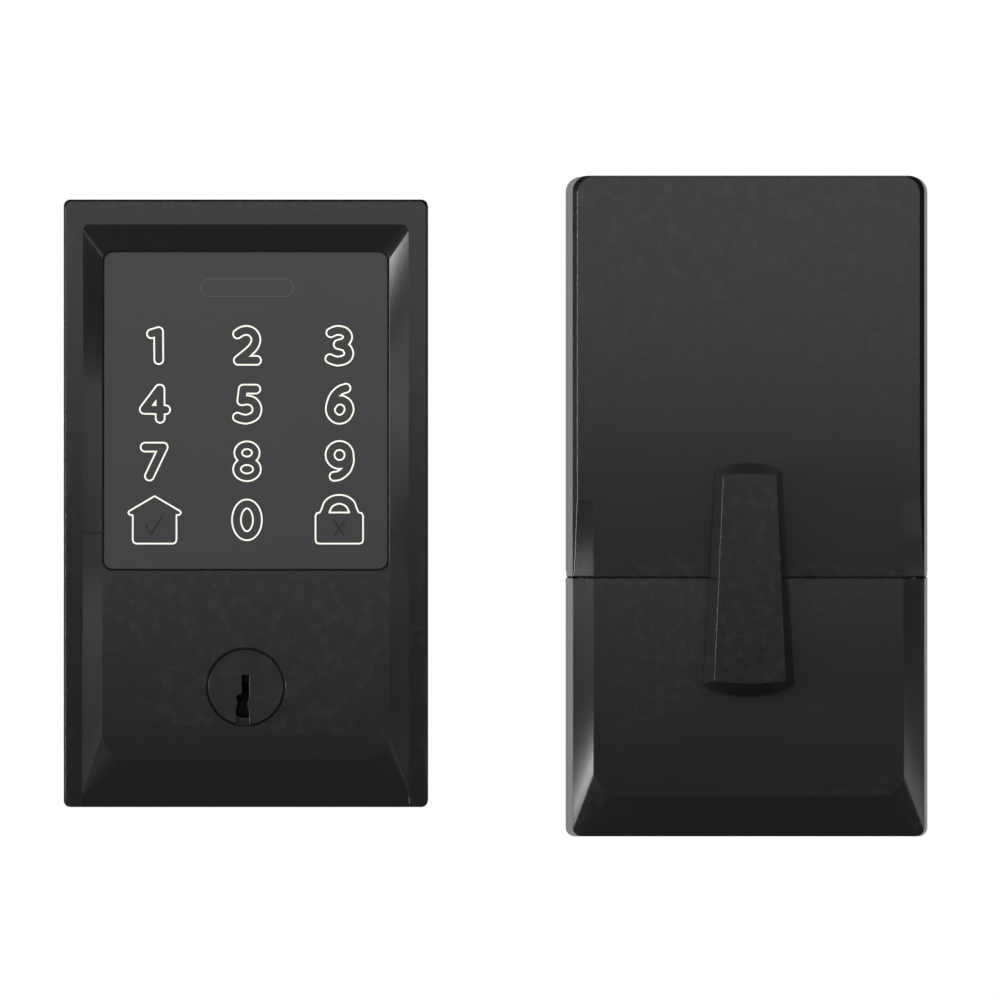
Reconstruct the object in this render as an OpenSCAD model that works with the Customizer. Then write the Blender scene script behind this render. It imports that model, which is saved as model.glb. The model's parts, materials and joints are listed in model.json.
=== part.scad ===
// Keypad smart lock: the exterior keypad half and the interior thumbturn half, side by side.
// Millimetres. +Z is up, the lock faces -Y, and the door side of both halves is the plane y = 0.
// The origin is the key plug's axis on the door plane. A depth d means y = -d.

/* [Exterior half] */
// Width of the exterior half
ext_w = 76.6; // [66:0.1:95]
// Height of the exterior half
ext_h = 127.8; // [106:0.1:160]
// Height of the key plug's axis above the lower edge
ext_below = 25.2; // [21:0.1:32]
// Depth of the flat rim in front of the door
ext_rim_d = 19; // [16:0.1:24]
// Corner radius of the outline
ext_corner_r = 1.4; // [0.5:0.1:4]
// Round of the front edge
ext_edge = 0.8; // [0.3:0.1:1.5]
// Thickness of the casting's walls
ext_wall = 2.4; // [1.8:0.1:3]
// Width of the rim at each side
rim_side = 4; // [3:0.1:5]
// Width of the rim at the top
rim_top = 5.3; // [4:0.1:7]
// Width of the slope inside the rim at each side
slope_side = 4.1; // [3:0.1:5]
// Width of the slope inside the rim at the top
slope_top = 5.3; // [4:0.1:7]
// How far the face lies below the rim at its top
screen_sink = 2; // [1:0.1:2.6]
// How far the face stands above the rim at its foot
panel_rise = 1.6; // [1:0.1:2.4]
// Height of the bevel below the face
bevel_h = 10; // [8:0.1:12]
// How far the bevel falls back over its height
bevel_drop = 2.2; // [1.8:0.1:3]
// Corner radius at the foot of the face
panel_corner_r = 5.4; // [3:0.1:7]

/* [Touchscreen] */
// Height of the lens opening
screen_h = 67.4; // [54:0.1:78]
// Corner radius of the lens
screen_r = 2; // [1:0.1:4]
// Gap all round the lens
screen_gap = 0.35; // [0.2:0.05:0.6]
// Depth of the lens front below the face
screen_inset = 0.25; // [0.1:0.05:0.6]
// Width of the flange that holds the lens from behind
lens_flange = 1.6; // [1.2:0.1:2]
// Thickness of the lens flange
lens_flange_t = 1.1; // [0.8:0.1:1.4]
// Thickness of the seal behind the casting
seal_t = 0.5; // [0.4:0.1:0.8]
// Thickness of the touch sensor board
sensor_t = 0.8; // [0.6:0.1:1]
// Thickness of the light guide
guide_t = 1.2; // [1:0.1:1.5]
// Thickness of the circuit boards
board_t = 1.6; // [1:0.1:1.8]

/* [Key cylinder] */
// Radius of the plug's front flange
plug_face_r = 7.85; // [7.4:0.05:8.4]
// Gap between the flange and the hole in the casting
plug_face_gap = 0.5; // [0.3:0.05:0.8]
// Radius of the plug
plug_r = 6.35; // [6:0.05:6.6]
// Radial running clearance of the plug in its body
plug_fit = 0.05; // [0.02:0.01:0.1]
// Radius of the cylinder body
cyl_r = 15; // [14:0.1:15.2]
// How far the cylinder body reaches into the door
cyl_back = 10; // [6:0.1:12]
// Radius of a pin chamber
chamber_r = 1.5; // [1.4:0.05:1.7]
// Number of pin chambers
chamber_n = 5; // [4:1:6]
// Pitch of the pin chambers
chamber_pitch = 3.96; // [3.6:0.01:4]
// Radial clearance of a pin in its chamber
pin_fit = 0.05; // [0.03:0.01:0.1]
// How far the tailpiece reaches behind the door plane
tail_reach = 52; // [45:0.5:58]
// Width of the tailpiece
tail_w = 6.4; // [5:0.1:6.8]
// Thickness of the tailpiece
tail_t = 2.4; // [2:0.1:2.8]

/* [Interior half] */
// Width of the interior half
int_w = 76.5; // [74:0.1:92]
// Height of the interior half
int_h = 139.5; // [138:0.1:168]
// Height of the turn's axis above the lower edge
turn_above = 54.45; // [54:0.1:60]
// Depth of the battery cover's face
int_d = 28; // [27.6:0.1:33]
// Taper of the sides from back to front
int_taper = 1.35; // [0.6:0.1:1.6]
// Width of the chamfer round the cover's face
int_chamfer = 1; // [0.6:0.1:1.4]
// Corner radius at the top
int_top_r = 3.3; // [2:0.1:5]
// Corner radius at the foot
int_foot_r = 1.9; // [1:0.1:4]
// Thickness of the cover's walls
cover_wall = 2; // [1.6:0.1:2.2]
// Thickness of the housing's side walls
int_wall = 2.4; // [1.8:0.1:2.8]
// Thickness of the housing's front wall
int_front_wall = 3; // [2.8:0.1:3.4]
// Height of the seam above the turn's axis
seam_z = 0.25; // [0.1:0.05:0.6]
// Gap at the seam
seam_gap = 0.4; // [0.2:0.05:0.6]
// Width of the side slopes beside the lower panel
int_slope = 4.4; // [3.4:0.1:5]
// Height of the bevel below the lower panel
int_bevel_h = 9.1; // [7:0.1:11]
// How far the lower panel stands above the cover's face at its foot
int_rise = 1.5; // [0.8:0.1:2]
// How far the ridge of the side slopes lies below the cover's face
ridge_drop = 0.8; // [0.5:0.1:1.2]
// Height over which the side slopes fade out on the cover
fade_h = 16; // [8:0.5:20]
// Distance between the centre lines of the two halves
half_pitch = 105.6; // [96:0.1:130]
// Height of the turn's axis above the key plug's axis, as the halves are laid out
turn_z = 22.7; // [0:0.1:40]

/* [Thumbturn] */
// Depth of the turn's front face
turn_d = 45.7; // [43:0.1:50]
// Gap between the lever and the cover
turn_gap = 2.5; // [1.9:0.1:3.5]
// Half length of the lever
lever_half = 22.9; // [19:0.1:27.5]
// Width of the lever's upper end
lever_top_w = 13.7; // [12:0.1:16]
// Width of the lever's lower end
lever_foot_w = 19.2; // [16:0.1:23]
// Width lost from the lever's back to its front, at the upper end
lever_draft_top = 2.5; // [1:0.1:3]
// Width lost from the lever's back to its front, at the lower end
lever_draft_foot = 4.3; // [2:0.1:5]
// Radius of the lever's neck
neck_r = 6; // [5.6:0.1:6.4]
// Gap round the neck
neck_gap = 0.6; // [0.4:0.05:0.8]
// Radius of the spindle
spindle_r = 5; // [4.8:0.05:5.2]
// Radial running clearance of the spindle in its bushing
spindle_fit = 0.05; // [0.02:0.01:0.1]

/* [Gear train] */
// Module of all the gears
gear_m = 0.8; // [0.75:0.01:0.82]
// Teeth of the output gear
teeth_out = 36; // [36:1:36]
// Teeth of the idler's small gear
teeth_small = 12; // [12:1:12]
// Teeth of the idler's large gear
teeth_large = 30; // [30:1:30]
// Teeth of the motor's gear
teeth_motor = 10; // [10:1:10]
// Backlash at the pitch circle
backlash = 0.16; // [0.1:0.01:0.25]
// Radius of the idler's pin
idler_pin_r = 1.5; // [1.3:0.05:1.8]
// Radius of the motor
motor_r = 8; // [7:0.1:8.2]

/* [Fixings and power] */
// Spacing of the two through bolts
bolt_spacing = 38.1; // [37.5:0.1:40]
// Radius of the thread in the bolt posts
post_thread_r = 2; // [1.8:0.05:2.1]
// Outer radius of the bolt posts
post_r = 3.6; // [3.2:0.05:3.9]
// How far the bolt posts reach into the door
post_reach = 16; // [10:0.5:18]
// Radius of a through bolt's shank
bolt_r = 1.9; // [1.6:0.05:1.95]
// How far a through bolt reaches behind the door plane
bolt_reach = 36; // [30:0.5:42]
// Radius of a battery
battery_r = 7.1; // [7.1:0.05:7.2]
// Length of a battery with its button
battery_l = 50.5; // [50:0.1:50.5]
// Number of batteries
battery_n = 4; // [3:1:4]
// Pitch of the batteries
battery_pitch = 15.2; // [14.8:0.1:15.4]
// Travel of the pairing button
button_travel = 0.8; // [0.5:0.1:0.8]

/* [Hidden] */
$fn = 48;
e = 0.01;

// Exterior half, worked out from the driving sizes
ext_top = ext_h - ext_below;
ext_mid = ext_top - ext_h / 2;
rim_x = ext_w / 2 - rim_side;
face_x = rim_x - slope_side;
rim_z = ext_top - rim_top;
face_top = rim_z - slope_top;
face_foot = bevel_h - ext_below;
face_k = (screen_sink + panel_rise) / (face_top - face_foot);
face_tilt = atan(face_k);
flush_z = face_top - screen_sink / face_k;
// The raised and the sunk part of the face each start this far from the flush line
flush_gap = 0.4;
bevel_k = bevel_drop / bevel_h;
bevel_rim_z = face_foot - panel_rise / bevel_k;
gasket_t = 0.8;
plate_t = 1.2;
plate_front = gasket_t + plate_t;
slope_foot_r = 0.6;
rim_corner_r = 1.5;
hole_x = face_x - 0.05;
screen_top = face_top - 0.05;
screen_mid = screen_top - screen_h / 2;
stack_lens = ext_wall + seal_t;
stack_sensor = stack_lens + lens_flange_t;
stack_guide = stack_sensor + sensor_t;
stack_board = stack_guide + guide_t;
boss_r = 3;
boss_x = ext_w / 2 - ext_wall - boss_r - 1.2;
boss_top_z = ext_top - ext_wall - boss_r - 0.4;
boss_foot_z = ext_wall + boss_r + 2.4 - ext_below;
small_screw_r = 1.2;
small_head_r = 2.4;

// Key cylinder
cyl_front = face_d(cyl_r) - ext_wall - 0.1;
plug_front = face_d(0) - 0.25;
plug_back = -(cyl_back + 1);
chamber_first = cyl_front - 4.6;
retainer_t = 2;
shear_gap = 0.1;
driver_len = 2.6;
cap_t = 1.3;

// Interior half, in a frame whose origin is the turn's axis on the door plane
int_top = int_h - turn_above;
int_foot = -turn_above;
front_x = int_w / 2 - int_taper;
panel_x = front_x - int_slope;
ridge_d = int_d - ridge_drop;
panel_foot = int_foot + int_bevel_h;
int_k = int_rise / (seam_z - panel_foot);
cover_z0 = seam_z + seam_gap;
cover_inner_d = int_d - cover_wall;
box_x = int_w / 2 - int_taper - cover_wall - 0.9;
box_front = cover_inner_d - 0.7;
box_wall = 1.6;
box_top = 24.5;
cavity_d = int_d - int_front_wall;
pan_back = 2.3;
pan_floor_back = 8.6;
pan_floor = 10;
pan_top = int_top - cover_wall - 1;
lip_d = 3;
lip_h = 1;
rail_d = 3.6;
rail_t = 2;
rail_w = 1.3;
rail_gap = 0.4;
tongue_z0 = int_top - 40;
support_t = 2;
support_x = box_x - 0.5;

// Turn, spindle and gears
lever_back = int_d + turn_gap;
gear_back = 14;
gear_t = 4;
large_back = 8;
large_t = 3.5;
bushing_back = 20.2;
bushing_r = 7;
bushing_flange_r = 8.2;
hub_boss_r = 9.5;
clip_d = gear_back + gear_t + 0.15;
spindle_back = 2.6;
out_r = gear_m * teeth_out / 2;
centre_play = 0.1;
idler_dist = gear_m * (teeth_out + teeth_small) / 2 + centre_play;
motor_dist = gear_m * (teeth_large + teeth_motor) / 2 + centre_play;
idler_angle = -50;
motor_angle = 235;
idler_at = idler_dist * [cos(idler_angle), sin(idler_angle)];
motor_at = idler_at + motor_dist * [cos(motor_angle), sin(motor_angle)];
plate_back = 5.5;
gear_plate_t = 1.5;
gear_plate_front = plate_back + gear_plate_t;
gear_screws = [[-20.5, 17], [20.5, 17], [-20.5, -38], [24, -38]];
mount_screw_x = 29;
mount_screw_z = 12;
mount_boss_r = 4.2;
button_at = [9, 19.8];
button_r = 2.4;
switch_gap = button_travel + 0.1;

// Power and boards
tray_floor = 1;
tray_z0 = 26;
tray_wall = 1.2;
battery_d = pan_floor + tray_floor + 0.2 + battery_r;
battery_z0 = tray_z0 + tray_wall + 1.8;
tray_x = (battery_n - 1) * battery_pitch / 2 + battery_r + 1.7;
tray_z1 = battery_z0 + battery_l + 1.8 + tray_wall;
board_back = 4;
board_front = board_back + board_t;
board_x = 30;
board_z0 = 26.5;
board_z1 = tray_z1 - 3;
board_holes = [for (x = [-27, 27], z = [board_z0 + 3.5, board_z1 - 4]) [x, z]];

black_metal = "#202123";
black_plastic = "#2b2c2e";
steel = "#a9adb2";
brass = "#c9a95c";
board_green = "#1e5a3c";
white_plastic = "#dfe2e4";

// Depth of the exterior face at a height, before the bevel
function face_d(z) = ext_rim_d - screen_sink + (face_top - z) * face_k;
// Depth of the interior panel at a height above the turn's axis
function panel_d(z) = int_d + (seam_z - z) * int_k;

// Depth of the exterior bevel at a height
function bevel_d(z) = face_d(face_foot) - (face_foot - z) * bevel_k;

// Fills an outline drawn in y and z from x0 to x1
module along_x(x0, x1) {
    translate([x0, 0, 0]) rotate([90, 0, 90]) linear_extrude(x1 - x0) children();
}
// Fills an outline drawn in x and z from depth d0 to depth d1
module upright(d0, d1) {
    translate([0, -d0, 0]) rotate([90, 0, 0]) linear_extrude(d1 - d0) children();
}
// A round bar along the depth
module bar(x, z, r, d0, d1) {
    translate([x, -d0, z]) rotate([90, 0, 0]) cylinder(r = r, h = d1 - d0);
}
// A block between two depths, centred in x and z
module slab(x, z, w, h, d0, d1) {
    translate([x - w / 2, -d1, z - h / 2]) cube([w, d1 - d0, h]);
}
module rounded(w, h, r) {
    square([w - 2 * r, h], center = true);
    square([w, h - 2 * r], center = true);
    for (x = [-1, 1], z = [-1, 1])
        translate([x * (w / 2 - r), z * (h / 2 - r)]) circle(r);
}
// A frame that lies on the tilted exterior face: y = 0 is the face and +y goes in
module on_face() {
    translate([0, -face_d(0), 0]) rotate([-face_tilt, 0, 0]) children();
}
module in_turn() {
    translate([half_pitch, 0, turn_z]) children();
}

// An open outline of three sides: up or down one side, round two corners, and back
side_steps = 14;
arc_steps = 8;
function u_outline(x, z0, z1, r) =
    let (s = sign(z1 - z0), zc = z1 - s * r)
    let (side = [for (i = [0 : side_steps - 1]) [-x, z0 + (zc - z0) * i / side_steps]])
    let (arc = [for (i = [0 : arc_steps])
        let (a = 90 * i / arc_steps) [-x + r - r * cos(a), zc + s * r * sin(a)]])
    let (half = concat(side, arc), n = len(half))
    concat(half, [for (i = [n - 1 : -1 : 0]) [-half[i][0], half[i][1]]]);
// A thin block with a flat face inside and slopes round three sides of it
// inner and outer are lists of [x, depth, z]; the block ends flat at depth end_d
module sloped_block(inner, outer, end_d) {
    n = len(inner);
    pts = concat([for (p = inner) [p[0], -p[1], p[2]]],
        [for (p = outer) [p[0], -p[1], p[2]]],
        [for (p = outer) [p[0], -end_d, p[2]]]);
    polyhedron(pts, concat(
        [for (i = [0 : n / 2 - 2]) each [[i + 1, i, n - 1 - i], [i + 1, n - 1 - i, n - 2 - i]]],
        [for (i = [0 : n - 2]) each [[n + i, i, i + 1], [n + i + 1, n + i, i + 1]]],
        [for (i = [0 : n - 2]) each [[2 * n + i + 1, 2 * n + i, n + i],
            [2 * n + i + 1, n + i, n + i + 1]]],
        [for (i = [0 : n / 2 - 2]) each [[2 * n + i, 2 * n + i + 1, 3 * n - 1 - i],
            [3 * n - 1 - i, 2 * n + i + 1, 3 * n - 2 - i]]],
        [[n, 2 * n, 3 * n - 1], [n, 3 * n - 1, 2 * n - 1], [n, 2 * n - 1, n - 1], [n, n - 1, 0]]));
}

// Involute gear outline with shortened teeth
function gear_tip(n) = gear_m * (n / 2 + 0.8);
function gear_root(n) = gear_m * (n / 2 - 1.05);
function involute_deg(t) = t * 180 / PI - atan(t);
function gear_points(n, turn) =
    let (rp = gear_m * n / 2, pa = 25, rb = rp * cos(pa), steps = 4)
    let (half = 90 / n - backlash / 2 / rp * 180 / PI + involute_deg(tan(pa)))
    let (r0 = max(rb, gear_root(n)), r1 = gear_tip(n))
    let (flank = [for (i = [0 : steps])
        let (r = r0 + (r1 - r0) * i / steps) [r, half - involute_deg(sqrt(pow(r / rb, 2) - 1 + 1e-9))]])
    let (side = concat([[gear_root(n), half]], flank))
    let (tooth = concat([for (p = side) [p[0], -p[1]]], [for (i = [steps + 1 : -1 : 0]) side[i]]))
    [for (k = [0 : n - 1], p = tooth)
        let (a = turn + 360 * k / n + p[1]) p[0] * [cos(a), sin(a)]];

// ---------------------------------------------------------------- exterior half

module exterior_outline(inset = 0) {
    translate([0, ext_mid]) rounded(ext_w - 2 * inset, ext_h - 2 * inset, ext_corner_r);
}
module exterior_form() {
    difference() {
        union() {
            hull() {
                upright(gasket_t, ext_rim_d - ext_edge) exterior_outline();
                upright(ext_rim_d - e, ext_rim_d) exterior_outline(ext_edge / 2);
            }
            raised_face();
        }
        sunk_face();
        lower_cut();
    }
}
module raised_face() {
    inner = u_outline(face_x, flush_z - flush_gap, face_foot, panel_corner_r);
    outer = u_outline(rim_x, flush_z - flush_gap, bevel_rim_z, slope_foot_r);
    sloped_block([for (p = inner) [p[0], face_d(p[1]), p[1]]],
        [for (p = outer) [p[0], ext_rim_d, p[1]]], ext_rim_d - 1);
}
module sunk_face() {
    inner = u_outline(face_x, flush_z + flush_gap, face_top, screen_r);
    outer = u_outline(rim_x, flush_z + flush_gap, rim_z, rim_corner_r);
    sloped_block([for (p = inner) [p[0], face_d(p[1]), p[1]]],
        [for (p = outer) [p[0], ext_rim_d, p[1]]], ext_rim_d + 1);
}
// The foot of the bevel, where it falls below the rim
module lower_cut() {
    foot = -ext_below - 1;
    front = -ext_rim_d - 1;
    along_x(-rim_x, rim_x)
        polygon([[-ext_rim_d, bevel_rim_z], [front, bevel_rim_z], [front, foot], [-bevel_d(foot), foot]]);
}
module face_cavity() {
    z0 = ext_wall - ext_below;
    z1 = ext_top - ext_wall;
    half = ext_w / 2 - ext_wall;
    along_x(-half, half)
        polygon([[1, z0], [ext_wall - bevel_d(z0), z0], [ext_wall - face_d(face_foot), face_foot],
            [ext_wall - face_d(z1), z1], [1, z1]]);
}
module screen_opening() {
    on_face() translate([0, ext_wall + 1, screen_mid]) rotate([90, 0, 0])
        linear_extrude(ext_wall + 4) rounded(2 * hole_x, screen_h, screen_r);
}
module exterior_bosses(r, d0, d1 = -1) {
    for (x = [-boss_x, boss_x], z = [boss_foot_z, boss_top_z])
        bar(x, z, r, d0, d1 > 0 ? d1 : face_d(z) - ext_wall - 0.4);
}
module exterior_housing() {
    color(black_metal) difference() {
        union() {
            difference() {
                exterior_form();
                face_cavity();
            }
            exterior_bosses(boss_r, plate_front, min(face_d(boss_top_z) - ext_wall + 1, ext_rim_d - 3));
        }
        screen_opening();
        bar(0, 0, plug_face_r + plug_face_gap, 0, ext_rim_d + 4);
        exterior_bosses(small_screw_r, 0, 11);
    }
}

module face_plate(w, h, r, d0, d1) {
    on_face() translate([0, d1, screen_mid]) rotate([90, 0, 0])
        linear_extrude(d1 - d0) rounded(w, h, r);
}
lens_w = 2 * (hole_x - screen_gap);
lens_h = screen_h - 2 * screen_gap;
stack_w = lens_w + 2 * lens_flange;
stack_h = lens_h + 2 * lens_flange;

module touchscreen_lens() {
    color("#343536") {
        face_plate(lens_w, lens_h, screen_r, screen_inset, stack_lens + e);
        face_plate(stack_w, stack_h, screen_r, stack_lens, stack_sensor);
    }
}
module lens_seal() {
    color("#151515") difference() {
        face_plate(stack_w, stack_h, screen_r, ext_wall, stack_lens);
        face_plate(2 * hole_x, screen_h, screen_r, ext_wall - 1, stack_lens + 1);
    }
}
module touch_sensor_board() {
    color("#3a4a5a") face_plate(stack_w - 1, stack_h - 1, 1, stack_sensor, stack_guide);
}
module light_guide() {
    color(white_plastic) face_plate(stack_w - 1, stack_h - 1, 1, stack_guide, stack_board);
}
module keypad_circuit_board() {
    chip_t = 1.2;
    color(board_green) {
        face_plate(stack_w - 1, stack_h - 1, 1, stack_board, stack_board + board_t);
        on_face() for (x = [-16, 2, 18], z = [-18, 4])
            translate([x, stack_board + board_t - e, screen_mid + z]) cube([8, chip_t, 10]);
    }
}
module alarm_buzzer() {
    color("#1a1a1a") on_face() translate([-2, stack_board + board_t, screen_mid + 24])
        rotate([-90, 0, 0]) difference() {
            cylinder(r = 6, h = 2.6);
            translate([0, 0, 1]) cylinder(r = 1, h = 3);
        }
}
module exterior_back_plate() {
    fit = 0.2;
    color(steel) difference() {
        upright(gasket_t, plate_front) translate([0, ext_mid])
            rounded(ext_w - 2 * ext_wall - 2 * fit, ext_h - 2 * ext_wall - 2 * fit, ext_corner_r);
        bar(0, 0, cyl_r + fit, -1, 5);
        for (x = [-1, 1]) bar(x * bolt_spacing / 2, 0, post_r + fit / 2, -1, 5);
        exterior_bosses(small_screw_r + 0.3, -1, 5);
        bar(0, grommet_z, grommet_r, -1, 5);
    }
}
grommet_r = 4.5;
grommet_z = cyl_r + 8;
module exterior_plate_screws() {
    color(steel) {
        exterior_bosses(small_screw_r, gasket_t - e, 9);
        exterior_bosses(small_head_r, -0.6, gasket_t);
    }
}
module weather_gasket() {
    lip = 1.2;
    width = 5;
    color("#111111") difference() {
        upright(0, gasket_t) exterior_outline(lip);
        upright(-1, gasket_t + 1) translate([0, ext_mid])
            rounded(ext_w - 2 * (lip + width), ext_h - 2 * (lip + width), 3);
        exterior_bosses(small_head_r + 0.4, -1, gasket_t + 1);
    }
}
module cable_grommet() {
    color("#161616") translate([0, 0, grommet_z]) rotate([90, 0, 0]) rotate_extrude()
        polygon([[2.6, -1.2], [grommet_r + 1.2, -1.2], [grommet_r + 1.2, gasket_t], [grommet_r, gasket_t],
            [grommet_r, plate_front], [grommet_r + 1.2, plate_front], [grommet_r + 1.2, plate_front + 1.4],
            [2.6, plate_front + 1.4]]);
}
module bolt_posts() {
    flange_t = 1.8;
    thread_l = post_reach + 1;
    color(steel) for (x = [-1, 1]) difference() {
        union() {
            bar(x * bolt_spacing / 2, 0, post_r, -post_reach, plate_front + flange_t);
            intersection() {
                bar(x * bolt_spacing / 2, 0, post_r + 1.6, plate_front, plate_front + flange_t);
                slab(x * (bolt_spacing / 2 + 5), 0, 12.4 - 2 * (cyl_r - 14.9), 20,
                    plate_front - 1, plate_front + 9);
            }
        }
        bar(x * bolt_spacing / 2, 0, post_thread_r, -post_reach - 1, thread_l - post_reach);
    }
}

module chambers(r, z0, z1) {
    for (i = [0 : chamber_n - 1])
        translate([0, -(chamber_first - i * chamber_pitch), z0]) cylinder(r = r, h = z1 - z0);
}
cap_w = 2 * chamber_r + 1.2;
cap_l = (chamber_n - 1) * chamber_pitch + 2 * chamber_r + 1.6;
cap_mid = chamber_first - (chamber_n - 1) * chamber_pitch / 2;
cap_z = sqrt(pow(cyl_r, 2) - pow(cap_w / 2, 2)) - cap_t;
module cylinder_body() {
    color(brass) difference() {
        bar(0, 0, cyl_r, -cyl_back, cyl_front);
        bar(0, 0, plug_r + plug_fit, -cyl_back - 1, cyl_front + 1);
        chambers(chamber_r, 0, cyl_r + 1);
        slab(0, cap_z + 5, cap_w, 10, cap_mid - cap_l / 2, cap_mid + cap_l / 2);
    }
}
module driver_pins() {
    color(steel) chambers(chamber_r - pin_fit, plug_r + shear_gap, plug_r + shear_gap + driver_len);
}
module pin_springs() {
    wire = 0.28;
    z0 = plug_r + shear_gap + driver_len;
    turns = ceil((cap_z - z0) / (2 * wire)) + 1;
    pitch = (cap_z - z0 - 2 * wire) / (turns - 1);
    color(steel) for (i = [0 : chamber_n - 1], k = [0 : turns - 1])
        translate([0, -(chamber_first - i * chamber_pitch), z0 + wire + k * pitch])
            rotate_extrude() translate([chamber_r - pin_fit - wire - 0.05, 0]) circle(wire, $fn = 16);
}
module pin_chamber_cap() {
    color(brass) slab(0, cap_z + cap_t / 2, cap_w, cap_t, cap_mid - cap_l / 2, cap_mid + cap_l / 2);
}
// The keyway: a narrow blade slot above a wider one with a ward in its side
module keyway() {
    slot = 1.56;
    wide = 2.8;
    right = 0.76;
    polygon([[right - slot, 2.6], [right, 2.6], [right, -2.2], [right - 0.5, -3.6], [right, -5],
        [right, -12], [right - wide, -12], [right - wide, -4.4], [right - wide + 0.4, -3.2],
        [right - wide, -2.1], [right - wide + 0.5, -1.5], [right - slot, -1.4]]);
}
module key_plug() {
    color("#26272a") difference() {
        union() {
            bar(0, 0, plug_r, plug_back, plug_front - 1);
            bar(0, 0, plug_face_r, cyl_front + 0.1, plug_front);
        }
        upright(-cyl_back + 4, plug_front + 1) keyway();
        chambers(chamber_r, 0, plug_r + 1);
    }
}
module key_pins() {
    color(brass) for (i = [0 : chamber_n - 1])
        translate([0, -(chamber_first - i * chamber_pitch), 1 + 0.35 * ((i * 2) % 3)])
            cylinder(r = chamber_r - pin_fit, h = plug_r - shear_gap - 1 - 0.35 * ((i * 2) % 3) - 0.15);
}
module plug_retainer() {
    color(steel) difference() {
        bar(0, 0, plug_r + 1.6, plug_back - retainer_t, plug_back);
        slab(0, 0, tail_w, tail_t, plug_back - retainer_t - 1, plug_back + 1);
    }
}
module tailpiece() {
    color(steel) slab(0, 0, tail_w, tail_t, -tail_reach, plug_back);
}

// ---------------------------------------------------------------- interior half

// Outline with its own radius at the foot and at the top
function corner(x, z, r, a0) = [for (i = [0 : r > 0 ? 6 : 0])
    let (a = a0 + 15 * i) [x + r * cos(a), z + r * sin(a)]];
module interior_outline(x, z0, z1, r_foot, r_top) {
    polygon(concat(corner(r_foot - x, z0 + r_foot, r_foot, 180),
        corner(x - r_foot, z0 + r_foot, r_foot, 270),
        corner(x - r_top, z1 - r_top, r_top, 0), corner(r_top - x, z1 - r_top, r_top, 90)));
}
module side_fades() {
    // the side slopes run out upwards on the cover's corners
    steps = 6;
    for (sx = [-1, 1]) scale([sx, 1, 1]) {
        ring = [for (i = [0 : steps]) let (t = i / steps, z = cover_z0 - 1 + (fade_h + 1) * t)
            [[panel_x, int_d, z], [front_x + 1, int_d - ridge_drop * (1 - t) * (1 + 1 / int_slope), z],
                [front_x + 1, int_d + 1, z], [panel_x, int_d + 1, z]]];
        pts = [for (s = ring, p = s) [p[0], -p[1], p[2]]];
        sides = [for (i = [0 : steps - 1], k = [0 : 3])
            let (a = 4 * i + k, b = 4 * i + (k + 1) % 4) each [[a, b, a + 4], [b, b + 4, a + 4]]];
        last = 4 * steps;
        polyhedron(pts, concat([[3, 2, 1, 0]], sides, [[last, last + 1, last + 2, last + 3]]));
    }
}
module cover_form(inset) {
    // inset 0 is the outside, cover_wall the inside
    z0 = inset > 0 ? cover_z0 - 5 : cover_z0;
    hull() {
        upright(inset > 0 ? -1 : 0.8, 1)
            interior_outline(int_w / 2 - inset, z0, int_top - inset, 0, int_top_r);
        upright(int_d - int_chamfer - inset - e, int_d - int_chamfer - inset)
            interior_outline(front_x - inset, z0, int_top - 0.3 - inset, 0, int_top_r - inset / 2);
        upright(int_d - inset - e, int_d - inset)
            interior_outline(front_x - int_chamfer - inset, z0, int_top - 0.6 - inset,
                0, int_top_r - inset / 2);
    }
}
module neck_clear(d0, d1) {
    bar(0, 0, neck_r + neck_gap, d0, d1);
}
// Low lips at the door side that close the seam's two ends
module seam_lips(x1, d0, d1, h) {
    for (sx = [-1, 1]) scale([sx, 1, 1])
        upright(d0, d1) translate([box_x, seam_z - 1]) square([x1 - box_x, h + 1]);
}
module battery_cover() {
    color(black_metal) in_turn() {
        difference() {
            cover_form(0);
            cover_form(cover_wall);
            side_fades();
            seam_lips(int_w / 2 + 1, -1, lip_d + 0.4, lip_h + seam_gap);
            neck_clear(cover_inner_d - 2, int_d + 2);
        }
        // tongues that hook behind the housing's rails
        for (sx = [-1, 1])
            translate([sx > 0 ? box_x + rail_gap : -int_w / 2 + cover_wall / 2,
                -(rail_d - rail_gap), tongue_z0])
                cube([int_w / 2 - cover_wall / 2 - box_x - rail_gap, 2, 30]);
    }
}
module lower_form() {
    hull() {
        upright(0, 1) interior_outline(int_w / 2, int_foot, seam_z, int_foot_r, 0);
        upright(ridge_d - e, ridge_d) interior_outline(front_x, int_foot + 0.6, seam_z, int_foot_r, 0);
    }
    inner = u_outline(panel_x, seam_z, panel_foot, 5);
    outer = u_outline(front_x - 0.1, seam_z, int_foot + 0.7, 1.5);
    sloped_block([for (p = inner) [p[0], panel_d(p[1]), p[1]]],
        [for (p = outer) [p[0], ridge_d, p[1]]], ridge_d - 1);
}
module lower_cavity() {
    side = int_w / 2 - int_taper - int_wall;
    upright(-1, cavity_d) translate([0, int_foot + int_wall + 0.6])
        translate([-side, 0]) square([2 * side, seam_z - int_foot - int_wall]);
}
module tube(at, r, d0, d1) {
    bar(at[0], at[1], r, d0, d1);
}
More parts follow.
